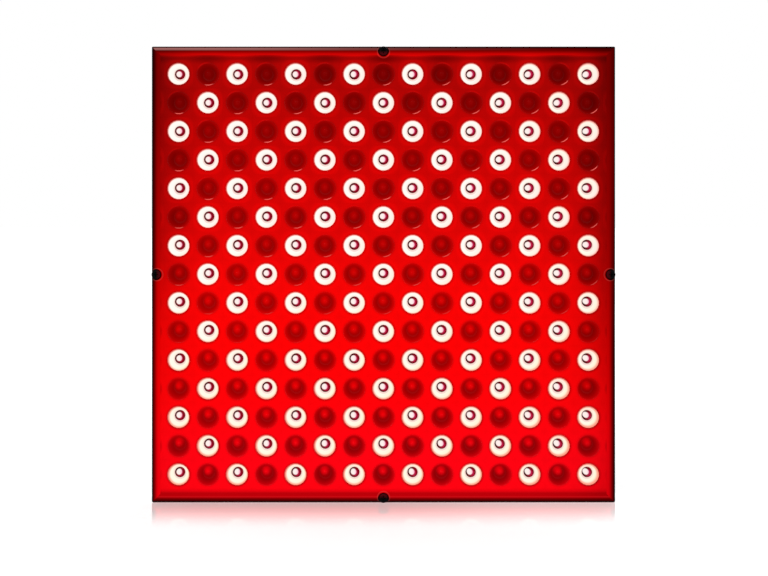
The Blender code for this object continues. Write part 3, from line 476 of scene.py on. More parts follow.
def field_share(place):
    """How far along the field of cups a place lies, from 0 to 1."""
    return (place + FIELD / 2) / FIELD


def plate_colour(look):
    """Plate's red as painted glow: dark at the top, full red from the middle down, with painted shade at both sides.
    """
    x, _, rise = look.place()
    along, height = field_share(x), field_share(rise)
    stops = [
        (0.085, (0.985, 0.0007, 0.0056)), (0.213, (0.982, 0.0005, 0.0024)), (0.34, (0.965, 0.0005, 0.001)),
        (0.468, (0.895, 0.0008, 0.0009)), (0.596, (0.7, 0.0008, 0.0009)), (0.723, (0.59, 0.0006, 0.0006)),
        (0.851, (0.47, 0.0006, 0.0005)), (0.915, (0.402, 0.0008, 0.0006)),
    ]
    left = look.level(along, [(0.0, 0.45), (0.012, 0.42), (0.045, 0.25), (0.08, 0.08), (0.12, 0.0)])
    left_stops = [(0.03, 0.2), (0.15, 0.15), (0.34, 0.35), (0.53, 0.75), (0.72, 0.86), (0.91, 1.0)]
    left_fade = look.level(height, left_stops)
    right = look.level(along, [(0.82, 0.0), (0.86, 0.07), (0.925, 0.17), (0.96, 0.36), (0.99, 0.55)])
    right_fade = look.level(height, [(0.03, 0.5), (0.15, 0.4), (0.34, 0.75), (0.5, 1.0)])
    return look.scaled(look.ramp(height, stops), 1 - left * left_fade - right * right_fade)


def cell_is_lit(look):
    """1 in the cells of the lit cups, 0 in the cells between them."""
    x, _, rise = look.place()
    column = (x / CUP_PITCH[0] + CUPS / 2).math("FLOOR")
    row = (rise / CUP_PITCH[1] + CUPS / 2).math("FLOOR")
    return 1 - ((column + row) / 2).math("FRACT") * 2


def edge_insets(look):
    """Millimetres in from the nearer side and from the nearer end, and whether that end is the top.

    Both are counted a little further out on the raised rim.
    """
    x, depth, rise = look.place()
    raised = (HOUSING_FRONT - depth).math("MAXIMUM", 0.0) * 0.17
    in_side = PANEL_HALF[0] - abs(x) - raised
    in_end = PANEL_HALF[1] - abs(rise) - raised
    return in_side, in_end, rise.math("GREATER_THAN", 0.0)


# Painted light and shade as shares of the plate's red: along the rim's top, bottom and sides, and in dark cups'
# bowls.
TOP_EDGE_LEVELS = [
    (0.028, 0.05), (0.083, 0.17), (0.14, 0.3), (0.196, 0.4), (0.25, 0.58), (0.308, 0.88), (0.363, 1.3),
    (0.417, 1.62), (0.475, 1.62), (0.533, 1.15), (0.583, 0.84), (0.64, 0.74), (0.7, 0.72), (0.82, 0.86), (0.95, 1.0),
]
BOTTOM_EDGE_LEVELS = [
    (0.028, 0.025), (0.083, 0.043), (0.14, 0.1), (0.196, 0.19), (0.25, 0.31), (0.308, 0.54), (0.363, 0.54),
    (0.417, 0.5), (0.475, 0.525), (0.533, 0.58), (0.583, 0.75), (0.642, 0.86), (0.7, 0.93), (0.8, 1.0),
]
SIDE_EDGE_LEVELS = [
    (0.0, 0.02), (0.028, 0.03), (0.083, 0.09), (0.14, 0.2), (0.196, 0.38), (0.25, 0.62), (0.308, 0.82), (0.37, 0.96),
]
BOWL_LEVELS = [
    (0.05, 0.295), (0.25, 0.35), (0.37, 0.385), (0.62, 0.4), (0.69, 0.44), (0.76, 0.47), (0.88, 0.475), (0.95, 0.41),
]


def end_level(look, in_end, top):
    """Painted light and shade along the top and bottom edges, as a share of the plate's red further in."""
    inset = in_end / EDGE_BAND
    above = look.level(inset, TOP_EDGE_LEVELS)
    below = look.level(inset, BOTTOM_EDGE_LEVELS)
    return below + (above - below) * top


def plate_face_red(look):
    """Plate face in painted light: each lit cup has a dark edge and a halo, each dark cup a soft shade round it."""
    away = look.cup_place()[2]
    _, in_end, top = edge_insets(look)
    lit = cell_is_lit(look)
    x, _, rise = look.place()
    out = away / CELL_REACH
    lit_stops = [(0.54, 0.66), (0.58, 0.84), (0.62, 1.0), (0.67, 1.07), (0.8, 1.04), (0.96, 1.0)]
    lit_edge = look.level(out, lit_stops)
    halo = look.level(out, [(0.54, 0.26), (0.62, 0.25), (0.7, 0.18), (0.86, 0.0)])
    dark_edge = look.level(out, [(0.54, 0.86), (0.58, 0.96), (0.64, 1.06), (0.72, 1.06), (0.96, 1.0)])
    around = dark_edge + (lit_edge + halo * rise.between(-60.0, 110.0) - dark_edge) * lit
    around = around + (1 - around) * in_end.below(8.8, 0.4)
    over_lit = 0.5 - (x * (math.pi / CUP_PITCH[0])).math("COSINE") * 0.5
    # Painted shadow band under the top of the rim, lighter over the lit cups.
    strip = in_end.between(13.5, 8.5) * top
    around = around * (1 + strip * (over_lit * 0.6 - 0.33))
    mottle = look.noise(60.0)
    # Painted highlight arcs over the dark cups, times the painted edge light and shade.
    share = (around + upper_arc(look) * 0.4) * end_level(look, in_end, top) * (0.97 + mottle * 0.06)
    look.glow(look.scaled(plate_colour(look), share), 0.55, 0.35 + mottle * 0.1)
    look.set(Normal=look.bump(look.noise(1800.0), 0.1, 0.00003))


def facing(look, lean, way):
    """How squarely a point of a cup's mouth faces up or down, once that way leans across by this slope."""
    across, up, away = look.cup_place()
    return (across * lean + up * way) / (away * (lean * lean + 1).math("SQRT"))


def upper_arc(look):
    """Soft arc of light over the mouth of each dark cup in the upper rows. It leans out towards both sides."""
    away = look.cup_place()[2]
    x, _, rise = look.place()
    ring = abs(away - 7.7).below(0.5, 0.4)
    shown = (1 - cell_is_lit(look)) * rise.between(-30.0, 120.0)
    return facing(look, x * 0.0044, 1).between(0.7, 1.0) * ring * shown


def cup_lip_red(look):
    """Cup mouth in painted light: a lit one takes light at its upper left, a dark one shows a thin highlight arc
    below.
    """
    lit = cell_is_lit(look)
    x, _, rise = look.place()
    arc = facing(look, x * 0.0023 + 0.36, -1).between(0.9, 1.0) * (1 - lit) * rise.between(-60.0, 80.0)
    # Painted light: lit lips brighten towards the top rows and take a pinkish spill at their upper left.
    high = rise.between(-90.0, 60.0) * lit
    red = look.scaled(plate_colour(look), 0.7 - lit * 0.22 + high * 0.55 + upper_arc(look) * 0.5)
    across, up, away = look.cup_place()
    spill = ((up - across) / away).between(-0.3, 1.3) * lit * 0.45
    red = look.blend(spill, red, (1.0, 0.3, 0.26))
    look.glow(look.blend(arc, red, (0.95, 0.14, 0.12)), 0.75, 0.2 + look.noise(200.0) * 0.08)


def cup_wall_lit(look):
    """Lit reflector as painted glow: nearly white, creamy along the right and the foot of its mouth, pinkish shade
    at its edge.
    """
    across, up, away = look.cup_place()
    x, _, rise = look.place()
    warm = (across * 0.5 - up * 0.3 + away * 0.9 + look.noise(350.0) * 2 - 1).between(4.5, 9.5)
    cream = look.blend(rise.between(40.0, -60.0), (1.0, 0.83, 0.75), (1.0, 0.88, 0.66))
    low, right = rise.between(20.0, -120.0), x.between(60.0, 140.0)
    mouth = away.between(6.5 - low * 0.8 - right * 0.5, 7.15 - low * 0.2 - right * 0.2) * (0.8 + low * 0.15)
    # Painted shade: pinkish round the LED and, in the lower rows and right columns, over it.
    near_led = distance(across, up - LED_RISE).between(4.7, 3.8) * 0.2
    over_led = (up / away).between(0.4, 1.0) * away.between(6.2, 4.6) * (low * 0.25 + right * 0.15)
    mouth = mouth.math("MAXIMUM", over_led)
    white = look.blend(low.math("MAXIMUM", right * 0.7), (0.98, 0.965, 0.9), (0.99, 0.95, 0.78))
    tint = look.blend(low, (1.0, 0.38, 0.3), (1.0, 0.3, 0.2))
    light = look.blend(near_led.math("MAXIMUM", mouth), look.blend(warm, white, cream), tint)
    look.set(
        Base_Color=look.scaled(light, 0.06),
        Emission_Color=light,
        Emission_Strength=0.98,
        Roughness=0.15 + warm * 0.1,
    )


def dark_cup_colour(look):
    """Unlit cup's red in painted light: a shaded bowl brightening towards its mouth, and a painted glow over its
    LED.

    The glow grows and sits higher in the lower rows.
    """
    across, up, _ = look.cup_place()
    x, _, rise = look.place()
    low = 0.5 - rise * 0.005
    bowl = look.level(field_share(rise), BOWL_LEVELS) * (1 + x.between(-40.0, -80.0) * 0.08)
    mouth_stops = [(0.56, 0.0), (0.65, 0.04), (0.75, 0.12), (0.82, 0.21), (0.88, 0.3)]
    mouth = look.level(distance(across + 0.3, up) / CUP_REACH, mouth_stops)
    glow = distance(across + 0.5, (up - 1.2 - low * 0.8) * (0.75 + low * 0.25)).between(4.2, 0.0)
    share = bowl + mouth + glow * (0.2 + low * 0.36)
    return look.scaled(plate_colour(look), share)


def cup_wall_dark(look):
    """Wall of an unlit cup, in its cup's painted red light and shade."""
    mottle = look.noise(300.0)
    look.glow(look.scaled(dark_cup_colour(look), 0.96 + mottle * 0.08), 0.9, 0.25 + mottle * 0.1)


def rim_gloss(look):
    """Rim in painted light: shaded nearly black at its outer edge, red further in, a painted pale sheen on the top
    bevel's left.
    """
    x, _, rise = look.place()
    in_side, in_end, top = edge_insets(look)
    sideways = in_side.math("LESS_THAN", in_end)
    side_level = look.level((in_side - x.math("GREATER_THAN", 0.0) * 0.25) / EDGE_BAND, SIDE_EDGE_LEVELS)
    # Painted red glow spilling onto the upper part of the right side.
    spill = x.between(100.0, 150.0) * rise.between(-60.0, 100.0) * 0.42
    side_level = side_level + (1 - side_level) * spill
    ends = end_level(look, in_end, top)
    share = ends + (side_level - ends) * sideways
    fade = [(0.1, 1.0), (0.2, 0.93), (0.31, 0.7), (0.44, 0.4), (0.56, 0.2), (0.7, 0.08), (0.9, 0.0)]
    along = look.level(field_share(x), fade)
    inset = in_end / EDGE_BAND
    bevel = look.level(inset, [(0.02, 0.2), (0.08, 0.9), (0.14, 0.95), (0.19, 0.3), (0.225, 0.0)])
    # Painted highlight: a thin bright line along the bottom bevel.
    line = look.level(inset, [(0.28, 0.0), (0.31, 0.6), (0.35, 0.0)])
    sheen = (along * bevel * top + line * (1 - top)) * (1 - sideways)
    red = look.scaled(plate_colour(look), share * (0.97 + look.noise(60.0) * 0.06))
    pale = look.blend(top, (0.62, 0.012, 0.016), (0.36, 0.14, 0.13))
    # Painted glint: a faint pale ring round each screw's seat.
    to_screw = distance(x, in_end - SCREW_INSET).math("MINIMUM", distance(rise, in_side - SCREW_INSET))
    seat = abs(to_screw - 4.1).below(0.25, 0.2) * 0.1
    red = look.blend(seat, look.blend(sheen, red, pale), (0.62, 0.2, 0.18))
    look.glow(red, 0.85, 0.25 + look.noise(150.0) * 0.1)


def led_dome_lit(look):
    """Lit dome: a pinkish-white glow to the left, crimson beside it, and a dark ring of painted shade round its
    foot.
    """
    x, _, rise = look.place()
    across, up, _ = look.cup_place()
    up = up - LED_RISE
    away = distance(across, up)
    # Painted highlight: the glow sits left of the dome's middle and shifts with its place on the panel.
    beside, over = across + 0.6 + x * 0.0043, up - 0.1 + (rise - 35) * 0.0043
    glow = distance(beside, over).between(2.15, 1.6)
    # Painted shade: darker on the left, crimson on the right.
    turn = across.between(-1.6, 1.8)
    crescent = look.blend(turn, (0.24, 0.02, 0.03), (0.5, 0.01, 0.06))
    foot = look.blend(turn, (0.06, 0.0015, 0.002), (0.24, 0.003, 0.012))
    body = look.blend((away + turn * 0.35).between(2.2, 2.8), crescent, foot)
    core = look.blend(beside.between(0.2, 2.2), (1.0, 0.88, 0.84), (1.0, 0.42, 0.6))
    light = look.blend(glow, body, core)
    look.set(Base_Color=look.scaled(light, 0.06), Emission_Color=light, Emission_Strength=0.95, Roughness=0.15)


def led_dome_dark(look):
    """Unlit dome, painted with the red light and shade of the cup about it."""
    look.glow(look.scaled(dark_cup_colour(look), 0.96 + look.noise(500.0) * 0.08), 0.9, 0.12)


def strip_board(look):
    """White solder mask. Round each LED it takes the light of its cup: cream if lit, deep red if not."""
    away = look.cup_place()[2]
    mottle = look.noise(90.0)
    mask = look.blend(mottle, (0.78, 0.75, 0.7), (0.68, 0.66, 0.62))
    cup_light = look.blend(cell_is_lit(look), dark_cup_colour(look), (0.98, 0.74, 0.67))
    seen = away.below(5.2, 0.2)
    look.set(
        Base_Color=look.blend(seen, mask, look.scaled(cup_light, 0.1)),
        Emission_Color=look.scaled(cup_light, seen * 0.9),
        Emission_Strength=1.0,
        Roughness=0.35 + mottle * 0.15,
    )


def edge_screw_black(look):
    """Black oxide on the edge screws, with painted red light on the side towards the panel's middle."""
    x, _, rise = look.place()
    in_side, in_end = PANEL_HALF[0] - abs(x), PANEL_HALF[1] - abs(rise)
    inner = in_side.math("MINIMUM", in_end).between(2.6, 5.6)
    drift = look.noise(400.0)
    black = look.blend(drift, (0.0008, 0.0008, 0.001), (0.003, 0.0028, 0.003))
    look.set(
        Base_Color=look.blend(inner, black, (0.06, 0.002, 0.004)),
        Roughness=0.35 + drift * 0.15,
        Normal=look.bump(drift, 0.1, 0.00003),
    )


def rocker_black(look):
    """Semi-gloss rocker with a white bar on one end and a white ring on the other."""
    x, depth, rise = look.place()
    across, up = x - SWITCH_PLACE[0], rise - SWITCH_PLACE[1]
    bar = abs(across).below(0.35, 0.06) * abs(up - ROCKER_MARK_RISE).below(1.25, 0.06)
    ring = abs(distance(across, up + ROCKER_MARK_RISE) - 1.1).below(0.3, 0.06)
    mark = bar.math("MAXIMUM", ring) * depth.math("GREATER_THAN", 30.5)
    drift = look.noise(120.0)
    body = look.blend(drift, (0.012, 0.012, 0.013), (0.02, 0.02, 0.021))
    look.set(
        Base_Color=look.blend(mark, body, (0.75, 0.75, 0.72)),
        Roughness=0.24 + drift * 0.12,
        Normal=look.bump(look.noise(FINE_GRAIN), 0.1, 0.00003),
    )


def board_green(look):
    """Green solder mask with darker tracks under it."""
    tracks = look.noise(160.0, 1.0, (1.0, 1.0, 3.0)).between(0.5, 0.54)
    green = look.blend(tracks, (0.015, 0.13, 0.05), (0.03, 0.2, 0.08))
    look.set(Base_Color=green, Roughness=0.3 + tracks * 0.1)


def copper_winding(look):
    """Turns of enamelled wire: slanting bands, with painted shade in the gaps between them."""
    slant = {"bands_direction": "DIAGONAL"}
    bands = look.node("ShaderNodeTexWave", slant, {"Vector": look.spot(), "Scale": 600.0}, "Fac")
    look.set(
        Base_Color=look.blend(bands, (0.272, 0.12, 0.056), (0.68, 0.3, 0.14)),
        Metallic=0.9,
        Roughness=0.3 + bands * 0.1,
        Normal=look.bump(bands, 0.5, 0.0001),
    )


PAINTED = {
    plate_face_red: 0.01, cup_lip_red: 0.04, cup_wall_lit: 0.05, cup_wall_dark: 0.02, rim_gloss: 0.0,
    led_dome_lit: 0.0, led_dome_dark: 0.01, strip_board: 0.05, edge_screw_black: 0.02, rocker_black: 0.5,
    board_green: 0.5, copper_winding: 0.5,
}
MOULDED = {
    "housing_black": (0.4, (0.007, 0.007, 0.0075), 0.45),
    # The housing's front edge: its black with a faint painted red glow, and no gloss.
    "housing_lip": (0.0, (0.008, 0.0005, 0.0005), 0.5),
    # Recess walls round the front screws: painted shade, near black with a faint red.
    "screw_seat": (0.0, (0.02, 0.0008, 0.001), 0.5),
    "socket_black": (0.4, (0.009, 0.009, 0.0095), 0.38),
    "insulating_film": (0.4, (0.78, 0.77, 0.7), 0.4),
    "ferrite": (0.4, (0.045, 0.045, 0.05), 0.6),
    "can_sleeve": (0.4, (0.02, 0.03, 0.1), 0.3),
    "fuse_glass": (0.5, (0.7, 0.72, 0.7), 0.12, 300.0),
    "terminal_green": (0.4, (0.03, 0.28, 0.11), 0.42),
    "wire_brown": (0.4, (0.14, 0.05, 0.02), 0.45),
    "wire_blue": (0.4, (0.02, 0.07, 0.38), 0.45),
    "wire_red": (0.4, (0.48, 0.02, 0.02), 0.45),
    "wire_black": (0.4, (0.015, 0.015, 0.016), 0.45),
}
METALS = {
    "screw_zinc": ((0.55, 0.55, 0.56), 0.3),
    "hanger_nickel": ((0.62, 0.61, 0.6), 0.24),
    "spreader_aluminium": ((0.7, 0.71, 0.73), 0.36, (1.0, 1.0, 0.04)),
    "pin_brass": ((0.72, 0.55, 0.26), 0.25),
}


def make_looks():
    """Every finish, by name: its paint function fills a new look."""
    table = [(paint.__name__, paint, specular) for paint, specular in PAINTED.items()]
    table += [(name, moulded, *values) for name, values in MOULDED.items()]
    table += [(name, metal, 0.5, *values) for name, values in METALS.items()]
    looks = {}
    for name, paint, specular, *values in table:
        look = Look(name, specular)
        paint(look, *values)
        looks[name] = look.material
    return looks


LOOKS = make_looks()

CARRIED = {
    "spreader_aluminium": ["heat_spreader", "driver_heatsink"],
    "screw_zinc": [f"spreader_screw_{number}" for number in range(1, 5)],
    "insulating_film": ["insulating_sheet"],
    "board_green": ["driver_board"],
    "ferrite": ["transformer"],
    "can_sleeve": ["input_capacitor", "output_capacitor"],
    "copper_winding": ["input_choke"],
    "fuse_glass": ["input_fuse"],
    "terminal_green": ["input_terminal", "output_terminal"],
    "wire_brown": ["live_wire", "switched_wire"],
    "wire_blue": ["neutral_wire"],
    "wire_red": ["led_wire_positive"],
    "wire_black": ["led_wire_negative"],
}


def dress_carried():
    """Give every node that is shown as packed its finish."""
    for look, nodes in CARRIED.items():
        for name in nodes:
            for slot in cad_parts[name].material_slots:
                slot.material = LOOKS[look]


# ---- front plate and rim


def cup_centres():
    """X and rise of every cup, row by row from the top, and whether it is lit."""
    row, column = np.divmod(np.arange(CUPS * CUPS), CUPS)
    middle = (CUPS - 1) / 2
    centres = np.stack([(column - middle) * CUP_PITCH[0], (middle - row) * CUP_PITCH[1]], axis=-1)
    return centres, (row + column) % 2 == 0


def cup_cell():
    """One cell: its edge, then rings whose radius and depth run down the cup, then its edge at the back."""
    angle = math.pi / 4 + full_turn(CUP_POINTS)
    edge = square_loop(CUP_POINTS) * np.array(CUP_PITCH) / 2
    cup = [at(radius * np.cos(angle), depth, radius * np.sin(angle)) for radius, depth in CUP_RINGS]
    points, faces = joined_rings([ring_at(FACE_DEPTH, edge), *cup, ring_at(PLATE_BACK, edge)])
    return points, faces[:-2]


def plate_border():
    """Flat strip from the cells' outer edge to the plate's own edge, over that edge and back to the cells."""
    loop = square_loop(CUPS * CUP_POINTS)
    inner = loop * np.array(CUP_PITCH) * CUPS / 2
    outer = loop * (np.array(PANEL_HALF) - PLATE_INSET)
    front = [ring_at(FACE_DEPTH, inner), ring_at(FACE_DEPTH, outer)]
    points, faces = joined_rings([*front, ring_at(PLATE_BACK, outer), ring_at(PLATE_BACK, inner)])
    return points, faces[:-2]


def make_cup_plate():
    centres, lit = cup_centres()
    cells = repeated(*cup_cell(), shifts(centres))
    face, lip, lit_wall, dark_wall = range(4)
    marks = np.tile(np.repeat([face, lip, lit_wall, lit_wall, face], CUP_POINTS), (len(centres), 1))
    marks[(marks == lit_wall) & ~lit[:, None]] = dark_wall
    looks = ["plate_face_red", "cup_lip_red", "cup_wall_lit", "cup_wall_dark"]
    return solid("cup_plate", [(*cells, marks.ravel()), (*plate_border(), face)], looks, 50)


def edge_screw_places():
    side, end = PANEL_HALF[0] - SCREW_INSET, PANEL_HALF[1] - SCREW_INSET
    return {"top": (0.0, end), "bottom": (0.0, -end), "left": (-side, 0.0), "right": (side, 0.0)}


def screw_pads():
    """Half-round pads that rise from the sunk face to the crest, on the inner side of each screw."""
    angle = np.linspace(-math.pi / 2, math.pi / 2, 25)
    shapes = []
    for x, rise in edge_screw_places().values():
        inward = math.atan2(-rise, -x)
        across = x + SCREW_PAD * np.cos(angle + inward)
        up = rise + SCREW_PAD * np.sin(angle + inward)
        shapes.append(joined_rings([at(across, depth, up) for depth in PAD_DEPTHS]))
    return solid("screw_pads", shapes, ["rim_gloss"])


def make_rim():
    """Rim: the profile's insets and depths carried round the panel's rectangle, with mitred corners."""
    corners = square_loop(4)
    rings = [ring_at(depth, corners * (np.array(PANEL_HALF) - inset)) for inset, depth in RIM_PROFILE]
    looks = ["rim_gloss", "screw_seat"]
    rim = solid("front_rim", [joined_rings(rings, looped=True)], looks)
    combined(rim, [screw_pads()], "UNION")
    radius, floor = SCREW_RECESS
    recess = [(radius + 0.15, -1.0), (radius + 0.15, 0.02), (radius, 0.2), (radius, floor)]
    holes = [(*turned(recess, (x, 0, rise), 48), 1) for x, rise in edge_screw_places().values()]
    return combined(rim, [solid("screw_recesses", holes, looks)])


# ---- LED strips


def make_strips():
    """Fifteen boards, each with a row of domes: a turned profile per LED, lit and unlit in turn."""
    half_width, half_height, front, back = STRIP
    centres, lit = cup_centres()
    dome = [(radius, -height) for radius, height in LED_RINGS]
    for row in range(CUPS):
        cups = slice(row * CUPS, (row + 1) * CUPS)
        rise = centres[cups][0, 1]
        table = [(0.2, 1.0, front), (0.0, 1.2, front + 0.2), (0.0, 1.2, back)]
        board = stepped(drawn_in(half_width, half_height, table), (0.0, rise), 3)
        points, faces = turned(dome, (0.0, front, rise + LED_RISE), LED_POINTS)
        marks = np.repeat(np.where(lit[cups], 1, 2), len(faces))
        shapes = [board, (*repeated(points, faces, shifts(centres[cups] * [1, 0])), marks)]
        strip = solid(f"strip_{row + 1:02d}", shapes, ["strip_board", "led_dome_lit", "led_dome_dark"], 50)
        fitted(strip, [f"led_strip_{row + 1:02d}"])


# ---- housing


def housing_shell():
    """Tray and plateau in one skin: sections run from the plateau's back over the rim and up the inside."""
    wide, high, rise, slope = PLATEAU
    top, wall = HOUSING_BACK + rise, HOUSING_WALL
    cover = [(slope + 1.0, 3.0, top), (slope + 0.3, 3.6, top - 0.25), (slope - 0.3, 4.0, top - 0.9)]
    cover += [(0.8, 5.0, HOUSING_BACK + 0.8), (0.0, 5.6, HOUSING_BACK + 0.15), (-0.8, 6.2, HOUSING_BACK)]
    tray = []
    for turn in np.linspace(0, math.pi / 2, 5):
        depth = HOUSING_BACK - CORNER_ROUND * (1 - math.cos(turn))
        tray.append((CORNER_ROUND * (1 - math.sin(turn)), 1.6, depth))
    tray += [(0.0, 0.8, HOUSING_FRONT + 0.2), (0.2, 0.7, HOUSING_FRONT), (wall, 0.5, HOUSING_FRONT)]
    tray.append((wall, 0.5, HOUSING_BACK - wall))
    pocket = [(wall, 4.0, HOUSING_BACK - wall), (wall + slope, 2.5, top - wall)]
    sections = drawn_in(wide, high, cover) + drawn_in(*PANEL_HALF, tray) + drawn_in(wide, high, pocket)
    return stepped(sections, (0.0, 0.0), 6)


def slots(places, half_width, half_height, front, back):
    """Round-ended holes, widened a little at the back face."""
    radius, flare = half_width - 0.01, 0.35
    table = [(0.0, radius, front), (0.0, radius, back - flare)]
    table += [(-flare, radius + flare, back), (-flare, radius + flare, back + 2.0)]
    return repeated(*stepped(drawn_in(half_width, half_height, table), (0.0, 0.0), 7), shifts(places))


def vent_places():
    x = (np.arange(VENTS) - (VENTS - 1) / 2) * VENT_PITCH
    return [(across, end * VENT_RISE) for end in (1, -1) for across in x]


def post_shapes():
    """Posts for the heat spreader, bosses for the front screws and hangers, and standoffs for the driver."""
    spots = [(side * POST_X, share * CUP_PITCH[1]) for side in (-1, 1) for share in STRIP_ROWS]
    spots += [(0.0, share * CUP_PITCH[1]) for share in (STRIP_ROWS[0], STRIP_ROWS[-1])]
    bars = [(x, rise, *POST, FLOOR_ROOT) for x, rise in spots]
    bars += [(x, rise, SCREW_BOSS, HOUSING_FRONT, FLOOR_ROOT) for x, rise in edge_screw_places().values()]
    bars += [(x, rise, *HANGER_BOSS, FLOOR_ROOT) for x, rise in hanger_places().values()]
    for side, end in ((-1, -1), (-1, 1), (1, -1), (1, 1)):
        across = BOARD_X + side * (BOARD_HALF[0] - STANDOFF_INSET)
        up = end * (BOARD_HALF[1] - STANDOFF_INSET)
        bars += [(across, up, *STANDOFF), (across, up, *PEG)]
    shapes = []
    for x, rise, radius, tip, root in bars:
        profile = [(0.0, tip), (radius - 0.3, tip), (radius, tip + 0.3), (radius, root), (0.0, root)]
        shapes.append(turned(profile, (x, 0, rise), 16))
    return shapes


def make_housing():
    black = ["housing_black", "housing_lip"]
    points, faces = housing_shell()
    front = at(0, HOUSING_FRONT + 0.25, 0)[1]
    marks = [int(all(points[corner][1] < front for corner in face)) for face in faces]
    housing = solid("housing", [(points, faces, marks)], black)
    cuts = [slots(vent_places(), *VENT_SIZE, HOUSING_BACK - 4.0, HOUSING_BACK)]
    for place, hole in ((INLET_PLACE, INLET_HOLE), (SWITCH_PLACE, SWITCH_HOLE)):
        cuts.append(stepped([(*hole, 0.6, depth) for depth in HOLE_DEPTHS], place, 3))
    combined(housing, [solid("housing_cuts", cuts, black)])
    return together(housing, solid("housing_posts", post_shapes(), black))


def together(obj, other):
    """Put the other's mesh into this one's as it is."""
    bm = bmesh.new()
    bm.from_mesh(obj.data)
    bm.from_mesh(other.data)
    bm.to_mesh(obj.data)
    bm.free()
    bpy.data.objects.remove(other)
    soften(obj, 30)
    return obj


# ---- screws


def cross_cut(depth, length, width):
    """Cross recess: two bars whose ends and sides taper inwards with depth."""
    shapes = []
    for long_x, long_z in ((length, width), (width, length)):
        mouth = [(long_x, long_z, 0.05, -1.0), (long_x, long_z, 0.05, 0.0)]
        sections = [*mouth, (long_x * 0.45, long_z * 0.6, 0.04, depth)]
        shapes.append(stepped(sections, (0.0, 0.0), 2))
    return shapes


def screw_mesh(head_radius, head_height, shank_radius, shank_length, look):
    """Pan head with a rounded edge and a cross recess, on a shank. It looks forwards from depth 0."""
    edge = []
    for turn in np.linspace(0, math.pi / 2, 5):
        side = 0.9 * head_height * (1 - math.sin(turn))
        back = 0.75 * head_height * (1 - math.cos(turn))
        edge.append((head_radius - side, -head_height + back))
    profile = [(0.0, -head_height), *edge, (head_radius, 0.0), (shank_radius, 0.0)]
    profile += [(shank_radius, shank_length - 0.8), (shank_radius * 0.4, shank_length), (0.0, shank_length)]
    screw = solid("screw", [turned(profile, (0.0, 0.0, 0.0), 32)], [look])
    cutters = []
    for shape in cross_cut(head_height * 0.75, head_radius * 0.52, head_radius * 0.13):
        cutter = solid("cross", [shape], [look])
        move_points(cutter.data, 0.0, 1, [0, -head_height * MM, 0])
        cutters.append(cutter)
    combined(screw, cutters)
    tidy_faces(screw.data)
    soften(screw, 30)
    return screw


def move_points(mesh, origin, turn, move):
    """Every point about the origin, times the turn, plus the move."""
    points = np.empty(len(mesh.vertices) * 3)
    mesh.vertices.foreach_get("co", points)
    mesh.vertices.foreach_set("co", ((points.reshape(-1, 3) - origin) * turn + move).ravel())
    mesh.update()


def placed_copy(name, first, x, depth, rise, backwards=False):
    """A copy of a mesh made about the origin, at its place, and turned about the vertical if it faces back."""
    mesh = first.data.copy()
    turn = [-1, -1, 1] if backwards else 1
    move_points(mesh, at(0, 0, 0), turn, at(x, depth, rise))
    return linked(name, mesh)


def make_front_screws():
    first = screw_mesh(*FRONT_SCREW, "edge_screw_black")
    for side, (x, rise) in edge_screw_places().items():
        screw = placed_copy(f"edge_screw_{side}", first, x, FRONT_SEAT, rise)
        fitted(screw, [f"front_screw_{side}"])
    bpy.data.objects.remove(first)


# ---- hangers


def hanger_places():
    x, rise = HANGER_PLACE
    corners = {"top_left": (-1, 1), "top_right": (1, 1), "bottom_left": (-1, -1), "bottom_right": (1, -1)}
    return {name: (side * x, end * rise) for name, (side, end) in corners.items()}


def ring_path():
    """D: a straight bar, two quarter-round corners and half an ellipse below, as across and up."""
    turn = np.linspace(0, math.pi / 2, 7)[1:, None]
    straight = RING_HALF_WIDTH - RING_CORNER
    bar = np.stack([np.linspace(-straight, straight, 9), np.zeros(9)], axis=-1)
    corner = np.concatenate([np.sin(turn), np.cos(turn)], axis=1) * RING_CORNER + [straight, -RING_CORNER]
    sweep = np.linspace(0, math.pi, 33)[1:-1]
    bow = np.stack([RING_HALF_WIDTH * np.cos(sweep), -RING_CORNER - RING_BOW * np.sin(sweep)], axis=-1)
    back = corner[::-1] * [-1, 1]
    return np.concatenate([bar, corner, bow, back])


def ring_shape(x, axis_rise, points=14):
    """Round wire along the D: the path plus the wire's radius times its in-plane normal and the depth."""
    path = ring_path()
    along = np.roll(path, -1, axis=0) - np.roll(path, 1, axis=0)
    along /= np.linalg.norm(along, axis=1, keepdims=True)
    outward = np.stack([along[:, 1], -along[:, 0]], axis=-1)
    angle = full_turn(points)
    out = RING_WIRE * np.cos(angle)
    across = path[:, :1] + outward[:, :1] * out
    up = path[:, 1:] + outward[:, 1:] * out
    return joined_rings(at(x + across, BARREL_DEPTH + RING_WIRE * np.sin(angle), axis_rise + up), looped=True)


def hanger_plate_shape(x, axis_rise):
    """Plate with rounded corners, and the barrel: a tube whose section is turned about the ring's axis."""
    half_width, half_height, front, back = HANGER_PLATE
    table = [(0.0, 2.5, front), (0.0, 2.5, back - 0.25), (0.25, 2.3, back)]
    plate = stepped(drawn_in(half_width, half_height, table), (x, axis_rise + half_height), 6)
    return [plate, turned(BARREL, (x, BARREL_DEPTH, axis_rise), 32, "across", looped=True)]


def make_hangers():
    nickel = ["hanger_nickel"]
    screw = screw_mesh(*HANGER_SCREW, "screw_zinc")
    for corner, (x, rise) in hanger_places().items():
        axis_rise = rise - AXIS_DROP
        plate = solid(f"hanger_{corner}", hanger_plate_shape(x, axis_rise), nickel)
        fitted(plate, [f"hanger_plate_{corner}"])
        ring = solid(f"d_ring_{corner}", [ring_shape(x, axis_rise)], nickel, 50)
        fitted(ring, [f"hanger_ring_{corner}"], f"hanger_ring_{corner}")
        fixing = placed_copy(f"hanger_fixing_{corner}", screw, x, HANGER_SEAT, rise, backwards=True)
        fitted(fixing, [f"hanger_screw_{corner}"])
    bpy.data.objects.remove(screw)


# ---- inlet and switch


